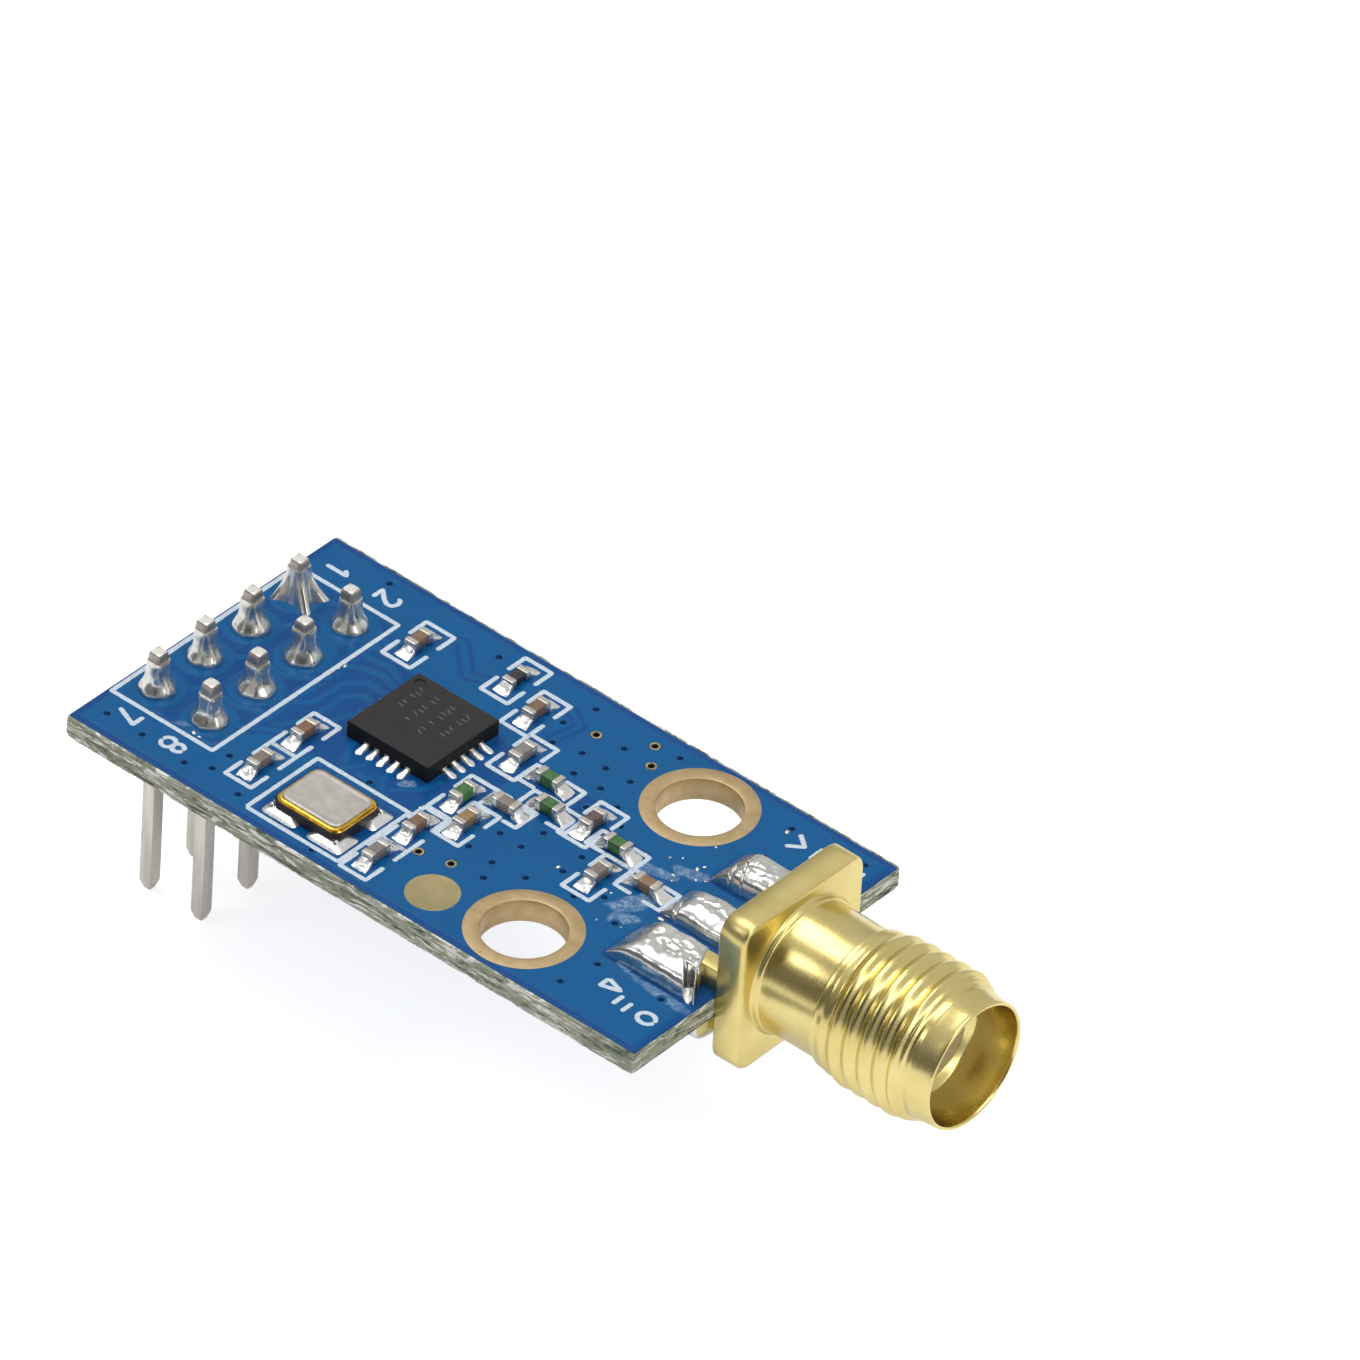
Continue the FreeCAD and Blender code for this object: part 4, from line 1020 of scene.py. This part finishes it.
for u in np.linspace(0, 1, 16):
    width = (0.27 + 0.07 * min(1, 1.6 * u)) * max(0.0, 1 - max(0, (u - 0.86) / 0.14) ** 3) ** 0.33 + 0.005
    height = 0.24 * (1 - u) ** 2.6 + 0.1 * (1 - u) + 0.035 * (1 - u ** 6) + 0.004
    x = 0.56 * u - 0.05
    loop = [(x, width * signed_power(math.cos(a), 0.7), height * math.sin(a) ** 0.5)
            for a in np.linspace(0, math.pi, 17)]
    fillet_loops.append(loop + [(x, -width * 0.9, -0.02), (x, width * 0.9, -0.02)])
fillet = skin(bmesh.new(), fillet_loops)
place_piece(copies("chip_part_fillets", mesh_from(fillet, "fillet"), fillet_places, solder, 0.12, 0.35),
            solder, "solder", "chip_part_solder")


# Antenna socket: one piece of brass, turned and milled, then gold-plated. A
# square flange carries four legs that clamp the board's edge, and in front of
# it a stepped barrel with a rolled helical thread and a thin-walled mouth.
flange_back = 7.4
axis_y, axis_z = 0.37, 1.25
half_flange, flange_corner_r = 3.3, 0.75
seat_r, seat_depth = 2.07, 0.5
leg_front, leg_middle, half_leg, leg_height, leg_play = 4.2, 2.6, 0.37, 0.93, 0.04
socket = bmesh.new()
flange_layers = [
    (0.05, 0.0), (0.0, 0.06), (0.0, 1.02), (0.02, 1.1), (0.07, 1.165), (0.14, 1.195), (0.22, 1.2),
]
loops = []
for inset, depth in flange_layers:
    side = half_flange - inset
    outline = evenly(rounded_outline(-side, -side, side, side, flange_corner_r - inset, 0.1), 200)
    loops.append([(flange_back + depth, axis_y + y, axis_z + z) for y, z in outline])
for depth in (0.0, seat_depth):
    circle = [(y * seat_r / math.hypot(y, z), z * seat_r / math.hypot(y, z)) for y, z in outline]
    loops.insert(0, [(flange_back + depth, axis_y + y, axis_z + z) for y, z in circle])
skin(socket, loops)
for middle in (axis_y - leg_middle, axis_y + leg_middle):
    for floor in (board_top, board_low[2] - leg_play - leg_height):
        soft_block(socket, (leg_front, middle - half_leg, floor),
                   (flange_back + 0.1, middle + half_leg, floor + leg_height), 0.04)
barrel_profile = [
    (8.55, 2.85), (8.61, 2.83), (8.65, 2.77), (8.7, 2.745), (8.78, 2.74), (8.815, 2.725), (8.83, 2.69),
    (8.85, 2.662), (8.9, 2.652), (9.2, 2.65), (11.3, 2.65), (11.42, 2.68), (11.5, 2.81), (11.56, 2.825),
    (11.6, 2.8), (11.6, 2.4),
]
nose_profile = [
    (15.2, 2.4), (15.2, 2.79), (15.4, 2.827), (15.45, 2.815), (15.49, 2.76), (15.53, 2.7),
    (15.58, 2.665), (15.65, 2.65), (15.73, 2.665), (15.82, 2.67), (15.93, 2.645), (16.08, 2.61),
    (16.55, 2.575), (16.68, 2.565), (16.73, 2.54), (16.75, 2.5), (16.74, 2.45), (16.7, 2.42),
    (16.6, 2.405), (16.2, 2.37), (15.6, 2.34), (15.1, 2.32), (14.93, 2.32), (14.9, 2.31), (14.86, 2.27),
    (14.7, 2.08), (14.66, 2.05), (14.5, 2.03),
]


def barrel(bm, profile, count=128):
    """Turns (x, radius) pairs about the socket's axis, with open ends hidden in the metal."""
    loops = [[(x, axis_y + py, axis_z + pz) for py, pz in ring_of(0, 0, r, count)] for x, r in profile]
    return skin(bm, loops, ends=False)


barrel(socket, barrel_profile)
barrel(socket, nose_profile)


def build_thread(tree, given):
    """Rolls a flat grid into a tube whose radius follows a helical thread, fading out at both ends."""
    grid = add(tree, "GeometryNodeMeshGrid", {
        "Size X": 1.0, "Size Y": 1.0, "Vertices X": given["Steps along"],
        "Vertices Y": given["Steps around"]})
    spot = add(tree, "ShaderNodeSeparateXYZ", [add(tree, "GeometryNodeInputPosition")]).outputs
    along = add(tree, "ShaderNodeMath", [spot["X"], 0.5], operation="ADD")
    around = add(tree, "ShaderNodeMath", [spot["Y"], 0.5], operation="ADD")
    x = add(tree, "ShaderNodeMath", [along, given["Length"]], operation="MULTIPLY")
    turns = add(tree, "ShaderNodeMath", [x, given["Pitch"]], operation="DIVIDE")
    phase = add(tree, "ShaderNodeMath", [turns, around], operation="SUBTRACT")
    shifted = add(tree, "ShaderNodeMath", [phase, given["Shift"]], operation="ADD")
    doubled = add(tree, "ShaderNodeMath", [shifted, 2.0], operation="MULTIPLY")
    wave = add(tree, "ShaderNodeMath", [doubled, 1.0], operation="PINGPONG")
    flank = add(tree, "ShaderNodeMapRange", {
        "Value": wave, "From Min": 0.0, "From Max": 0.95}, interpolation_type="SMOOTHSTEP")
    rise = add(tree, "ShaderNodeMapRange", {
        "Value": x, "From Min": 0.0, "From Max": given["Run in"]}, interpolation_type="SMOOTHSTEP")
    rest = add(tree, "ShaderNodeMath", [given["Length"], x], operation="SUBTRACT")
    fall = add(tree, "ShaderNodeMapRange", {
        "Value": rest, "From Min": 0.0, "From Max": given["Run out"]}, interpolation_type="SMOOTHSTEP")
    both = add(tree, "ShaderNodeMath", [rise, fall], operation="MULTIPLY")
    cut = add(tree, "ShaderNodeMath", [flank, both], operation="MULTIPLY")
    depth = add(tree, "ShaderNodeMath", [given["Crest radius"], given["Root radius"]], operation="SUBTRACT")
    lift = add(tree, "ShaderNodeMath", [cut, depth], operation="MULTIPLY")
    radius = add(tree, "ShaderNodeMath", [lift, given["Root radius"]], operation="ADD")
    angle = add(tree, "ShaderNodeMath", [around, math.tau], operation="MULTIPLY")
    cosine = add(tree, "ShaderNodeMath", [angle], operation="COSINE")
    sine = add(tree, "ShaderNodeMath", [angle], operation="SINE")
    y = add(tree, "ShaderNodeMath", [radius, cosine], operation="MULTIPLY")
    z = add(tree, "ShaderNodeMath", [radius, sine], operation="MULTIPLY")
    rolled_up = add(tree, "ShaderNodeCombineXYZ", [x, y, z])
    rolled = add(tree, "GeometryNodeSetPosition", {"Geometry": grid, "Position": rolled_up})
    sewn = add(tree, "GeometryNodeMergeByDistance", {"Geometry": rolled, "Distance": 1e-6})
    return sewn


# Gold plate over brass: a warm mirror that the turning tool and the plating
# have softened, with faint tool rings and a few darker, browner clouds. The
# milled flange and legs are a little duller than the turned barrel.
socket_gold = finish("gold plate on turned brass", "#dbc880", "#ead995", 1.6, (0.19, 0.28), 0.09, 0.0010, 1.0)
tree, shader = opened(socket_gold)[:2]
turned_sheen = shader.inputs["Roughness"].links[0].from_socket
where = add(tree, "ShaderNodeTexCoord").outputs["Object"]
along = add(tree, "ShaderNodeSeparateXYZ", [where]).outputs["X"]
milled = add(tree, "ShaderNodeMapRange", {
    "Value": along, "From Min": 8.62 * mm, "From Max": 8.66 * mm, "To Min": 0.1, "To Max": 0.0})
rougher = add(tree, "ShaderNodeMath", [turned_sheen, milled], operation="ADD")
tree.links.new(rougher.outputs[0], shader.inputs["Roughness"])
thread_start = Vector((11.45, axis_y, axis_z))
thread = grown("thread", build_thread, bpy.data.meshes.new("thread start"), {
    "Finish": socket_gold, "Steps along": 230, "Steps around": 129, "Length": 3.97 * mm, "Pitch": 0.706 * mm,
    "Crest radius": 3.02 * mm, "Root radius": 2.82 * mm, "Shift": 0.54,
    "Run in": 1.1 * mm, "Run out": 0.28 * mm})
thread.transform(Matrix.Translation(thread_start) @ Matrix.Scale(1 / mm, 4))
socket.from_mesh(thread)
place_piece(mesh_from(socket, "socket_metal", 50), socket_gold, "socket_gold", "socket_body")
ptfe = finish("PTFE, turned", "#c9bb98", "#d0c3a2", 0.6, (0.4, 0.55), 0.06, 0.003)
contact_gold = finish("gold plate on the contact", "#c99a3a", "#e2bb5a", 0.4, (0.15, 0.3), 0.05, 0.002, 1.0)
coat(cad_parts["socket_insulator"].data, ptfe)
coat(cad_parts["socket_centre_contact"].data, contact_gold)


# Socket solder: three heavy mounds made with a hot iron, over both upper legs
# and the centre pin. Each wets its whole pad and rises in a hollow foot to a
# round back over the metal. Near the flange the front one has frozen in fins.
def lowest(values, sharpness):
    """A soft minimum, so that one flank runs into the next over a rounded hip."""
    return -math.log(sum(math.exp(-sharpness * v) for v in values)) / sharpness


def mound(name, pad, crown, top, wall, lean, seed, lumps, slots):
    """A heap of solder on its pad: a field of heights that climbs from the pad's border to a crown over the
    metal. Wall is the share of the height that stands steep at the near border, lean the slant of the end
    towards the flange, and each slot is a torn groove given as a place, a slant, a half width and a depth."""
    x0, near, x1, far = pad
    crown_x, crown_near, crown_far, end_run = crown
    along, across = 230, 120
    loops = []
    for i in range(along + 1):
        row = []
        for j in range(across + 1):
            v = j / across
            wander = 0.05 * noise.noise(Vector(((x0 + i * 0.02) * 1.1, seed, 0)))
            y = near + wander + (far - near - 2 * wander) * v
            last = x1 - lean * (y - near)
            start = x0 + 0.05 * noise.noise(Vector((y * 1.4, seed, 5)))
            x = start + (last - start) * i / along
            toe = max(0.0, (x - start) / (crown_x - start))
            front = max(0.0, (y - near - wander) / (crown_near - near))
            back = max(0.0, (far - wander - y) / (far - crown_far))
            end = max(0.0, (last - x) / end_run)
            slope = (1 - wall) * (1 - (1 - min(1.0, front)) ** 1.5) + 0.1 * max(0.0, front - 1)
            heights = (
                0.1 * (1 - math.exp(-toe / 0.05)) + 0.9 * min(1.2, toe) ** 1.1,
                wall * (1 - math.exp(-front / 0.08)) + slope,
                1.04 * (1 - (1 - min(1.0, back)) ** 2.2),
                1.06 * (1 - (1 - min(1.0, end)) ** 3))
            rise = max(0.0, min(1.06, lowest(heights, 8.0) + 0.06))
            if min(i, along - i, j, across - j) == 0:
                rise = 0.0
            spot = Vector((x * 1.2 + seed, y * 1.2, seed))
            z = (top - board_top) * rise
            z += lumps * rise * (noise.noise(spot) + 0.3 * noise.noise(spot * 2.7))
            crust = max(0.0, 1 - abs(y - crown_near - 0.12) / 0.55) * min(1.0, toe)
            scab = max(-0.3, noise.noise(Vector((x * 3.4, y * 4.5, seed + 3))))
            z += 0.8 * lumps * crust * scab * min(1.0, rise * 2)
            for place, slant, half, depth in slots:
                off = (x - place - slant * (y - near)) / half
                reach = min(1.0, max(0.0, (near + 0.9 - y) / 0.35))
                z -= depth * math.exp(-off ** 4) * reach * z
            row.append((x, y, board_top + max(0.0, z)))
        far_foot = (row[-1][0], row[-1][1] - 0.02, board_top - 0.03)
        near_foot = (row[0][0], row[0][1] + 0.02, board_top - 0.03)
        loops.append(row + [far_foot, near_foot])
    return mesh_from(skin(bmesh.new(), loops), name, 75)


mound_solder = finish("tin solder, iron-drawn", "#c8c8c4", "#e8e7e4", 0.6, (0.13, 0.27), 0.22, 0.006, 1.0)
for side, pad, crown, top, wall, lean, seed, lumps, slots in (
        ("front", (2.93, -3.84, 7.18, -1.6), (4.1, -2.68, -1.95, 0.3), 1.92, 0.68, 0.47, 2.0, 0.08,
         ((6.9, -0.8, 0.2, 0.88), (7.32, -0.8, 0.06, 0.6))),
        ("back", (2.93, 1.97, 7.38, 3.85), (4.1, 2.62, 3.3, 0.25), 1.92, 0.5, 0.0, 9.0, 0.08,
         ((3.8, -0.35, 0.07, 0.3), (4.35, -0.5, 0.05, 0.18))),
        ("centre", (2.86, -0.8, 7.38, 0.98), (3.9, 0.1, 0.6, 0.25), 1.69, 0.5, 0.0, 17.0, 0.07,
         ((3.6, -0.3, 0.08, 0.3),))):
    place_piece(mound("socket_mound_" + side, pad, crown, top, wall, lean, seed, lumps, slots),
                mound_solder, "solder", "socket_solder_" + side)
splash = bmesh.new()
bmesh.ops.create_icosphere(splash, subdivisions=2, radius=1.0)
# Specks of solder thrown about by the iron, each a place and a radius.
splashes = [
    (3.14, -0.98, 0.12), (3.38, 1.12, 0.1), (-14.55, 1.86, 0.07), (-14.74, 1.26, 0.05),
    (-14.65, 1.59, 0.05), (-1.42, -1.34, 0.07), (2.23, 2.08, 0.08), (1.83, 1.22, 0.07),
    (0.33, 1.41, 0.06), (3.18, 5.95, 0.09), (-15.9, -4.86, 0.09), (-15.6, -4.9, 0.06),
    (0.9, -1.1, 0.05), (2.6, 1.6, 0.05), (-7.2, -2.3, 0.06), (2.35, 2.35, 0.06), (1.45, 2.2, 0.04),
    (2.0, 0.95, 0.04), (2.9, 1.75, 0.05), (1.1, 1.9, 0.04), (0.9, 2.9, 0.05), (1.9, 3.5, 0.05),
    (2.4, -2.3, 0.04), (1.5, -2.6, 0.04),
]
beads = copies("solder_splashes", mesh_from(splash, "bead"), [
    (x, y, board_top + film_rise, 51 * i, (r * 1.5, r, r * 0.6)) for i, (x, y, r) in enumerate(splashes)],
    mound_solder, 0.06, 0.12, 60)
place_piece(beads, mound_solder, "solder")
# Under the board the lower legs have two flatter mounds, made upside down.
below = bmesh.new()
upside_down = Matrix.Diagonal((1, 1, -1, 1))
for pad, crown, seed in (((2.98, -3.8, 7.3, -1.55), (4.1, -2.75, -1.85, 0.3), 31.0),
                         ((2.98, 1.97, 7.3, 3.85), (4.1, 2.6, 3.36, 0.3), 38.0)):
    heap = mound("heap", pad, crown, board_top + 1.11, 0.45, 0.0, seed, 0.03, ())
    heap.transform(Matrix.Translation((0, 0, (board_low[2] + board_top) * mm)) @ upside_down)
    heap.flip_normals()
    below.from_mesh(heap)
    bpy.data.meshes.remove(heap)
heaps = bpy.data.meshes.new("socket_mounds_under")
below.to_mesh(heaps)
below.free()
place_piece(heaps, mound_solder, "solder", "socket_solder_under")


# Studio: a plain pale floor at the level of the pin tips, four soft lamps, a
# room that is brighter above and behind with one dark flag in front, and the
# camera at the angle of the photograph.
floor_z = cad_bounds[0][2]
sheet = bpy.data.meshes.new("floor")
wide = 1.5
corners = [(x * wide, y * wide, floor_z) for x, y in ((-1, -1), (1, -1), (1, 1), (-1, 1))]
sheet.from_pydata(corners, [], [(0, 1, 2, 3)])
floor = bpy.data.objects.new("floor", sheet)
bpy.context.scene.collection.objects.link(floor)
paper = bpy.data.materials.new("white paper sweep")
paper.use_nodes = True
tree = paper.node_tree
tree.nodes.clear()
ray = add(tree, "ShaderNodeLightPath").outputs
mirrored = add(tree, "ShaderNodeMath", [
    ray["Is Glossy Ray"], ray["Is Transmission Ray"]], operation="MAXIMUM")
glance = add(tree, "ShaderNodeMath", [mirrored, 0.35], operation="MULTIPLY")
straight = add(tree, "ShaderNodeMath", [ray["Is Camera Ray"], 0.72], operation="MULTIPLY")
glow_level = add(tree, "ShaderNodeMath", [glance, straight], operation="MAXIMUM")
where = add(tree, "ShaderNodeTexCoord").outputs["Object"]
fibres = add(tree, "ShaderNodeTexNoise", {"Vector": where, "Scale": 1 / (2.0 * mm), "Detail": 4.0})
tint = add(tree, "ShaderNodeMix", {
    "Factor": fibres, "A_Color": paint("#e9e9e9"), "B_Color": paint("#efefef")}, data_type="RGBA")
matt = add(tree, "ShaderNodeBsdfDiffuse", {"Color": tint.outputs[2]})
glow = add(tree, "ShaderNodeEmission", {"Color": (1, 1, 1, 1), "Strength": glow_level})
both = add(tree, "ShaderNodeAddShader")
tree.links.new(matt.outputs[0], both.inputs[0])
tree.links.new(glow.outputs[0], both.inputs[1])
out = add(tree, "ShaderNodeOutputMaterial")
tree.links.new(both.outputs[0], out.inputs["Surface"])
sheet.materials.append(paper)

scene = bpy.context.scene
scene.view_settings.view_transform = "Standard"
world = bpy.data.worlds.new("studio")
scene.world = world
world.use_nodes = True
tree = world.node_tree
tree.nodes.clear()
ray = add(tree, "ShaderNodeLightPath").outputs
aim = add(tree, "ShaderNodeTexCoord").outputs["Generated"]
direction = add(tree, "ShaderNodeSeparateXYZ", [aim]).outputs
level = add(tree, "ShaderNodeMapRange", {
    "Value": direction["Z"], "From Min": 0.0, "From Max": 0.75, "To Min": 0.2, "To Max": 0.52},
    interpolation_type="SMOOTHSTEP")
raised = add(tree, "ShaderNodeMath", [direction["Z"], 0.9], operation="MULTIPLY")
behind = add(tree, "ShaderNodeMath", [direction["Y"], 0.45, raised], operation="MULTIPLY_ADD")
tilted = add(tree, "ShaderNodeMath", [direction["X"], 0.32, behind], operation="MULTIPLY_ADD")
mirrored = add(tree, "ShaderNodeMapRange", {
    "Value": tilted, "From Min": -0.27, "From Max": 0.7, "To Min": 0.15, "To Max": 0.66},
    interpolation_type="SMOOTHSTEP")
flag_side = add(tree, "ShaderNodeVectorMath", [aim, (0.48, -0.67, 0.57)], operation="DOT_PRODUCT")
flagged = add(tree, "ShaderNodeMapRange", {
    "Value": flag_side.outputs["Value"], "From Min": 0.87, "From Max": 0.97, "To Min": 1.0, "To Max": 0.06})
shaded = add(tree, "ShaderNodeMath", [mirrored, flagged], operation="MULTIPLY")
bright = add(tree, "ShaderNodeMath", [ray["Is Glossy Ray"], ray["Is Transmission Ray"]], operation="MAXIMUM")
seen = add(tree, "ShaderNodeMix", {
    "Factor": bright, "A_Float": level, "B_Float": shaded}, data_type="FLOAT")
shown = add(tree, "ShaderNodeMath", [seen, ray["Is Camera Ray"]], operation="MAXIMUM")
sky = add(tree, "ShaderNodeBackground", {"Color": (1, 1, 1, 1), "Strength": shown})
out = add(tree, "ShaderNodeOutputWorld")
tree.links.new(sky.outputs[0], out.inputs["Surface"])

target = Vector((-5.335, 9.869, 0.9)) * mm
for name, spot, width, depth, power in (
        ("key softbox", (-0.206, 0.05, 0.37), 0.22, 0.18, 0.36),
        ("near softbox", (-0.19, -0.22, 0.25), 0.12, 0.09, 0.09),
        ("top softbox", (0.14, 0.02, 0.5), 0.3, 0.3, 0.62),
        ("side strip", (0.34, -0.05, 0.2), 0.08, 0.3, 0.2)):
    lamp = bpy.data.lights.new(name, "AREA")
    lamp.shape = "RECTANGLE"
    lamp.size, lamp.size_y = width, depth
    lamp.energy = power
    stand = bpy.data.objects.new(name, lamp)
    stand.location = spot
    stand.rotation_euler = (target - Vector(spot)).to_track_quat("-Z", "Y").to_euler()
    scene.collection.objects.link(stand)

azimuth, elevation, roll = (math.radians(a) for a in (38.575, 38.844, 3.749))
level_reach = math.cos(elevation)
back = Vector((math.sin(azimuth) * level_reach, -math.cos(azimuth) * level_reach, math.sin(elevation)))
right = Vector((math.cos(azimuth), math.sin(azimuth), 0))
up = back.cross(right)
camera_right = right * math.cos(roll) + up * math.sin(roll)
camera_up = up * math.cos(roll) - right * math.sin(roll)
photo_width, focal_length_in_pixels = 1360, 18010.3
distance = 655.9 * mm
lens = bpy.data.cameras.new("camera")
lens.sensor_width = 36
lens.lens = lens.sensor_width * focal_length_in_pixels / photo_width
lens.clip_start, lens.clip_end = 0.01, 10
camera = bpy.data.objects.new("camera", lens)
spot = target + back * distance
rows = [(camera_right[i], camera_up[i], back[i], spot[i]) for i in range(3)]
camera.matrix_world = Matrix(rows + [(0, 0, 0, 1)])
scene.collection.objects.link(camera)
scene.camera = camera
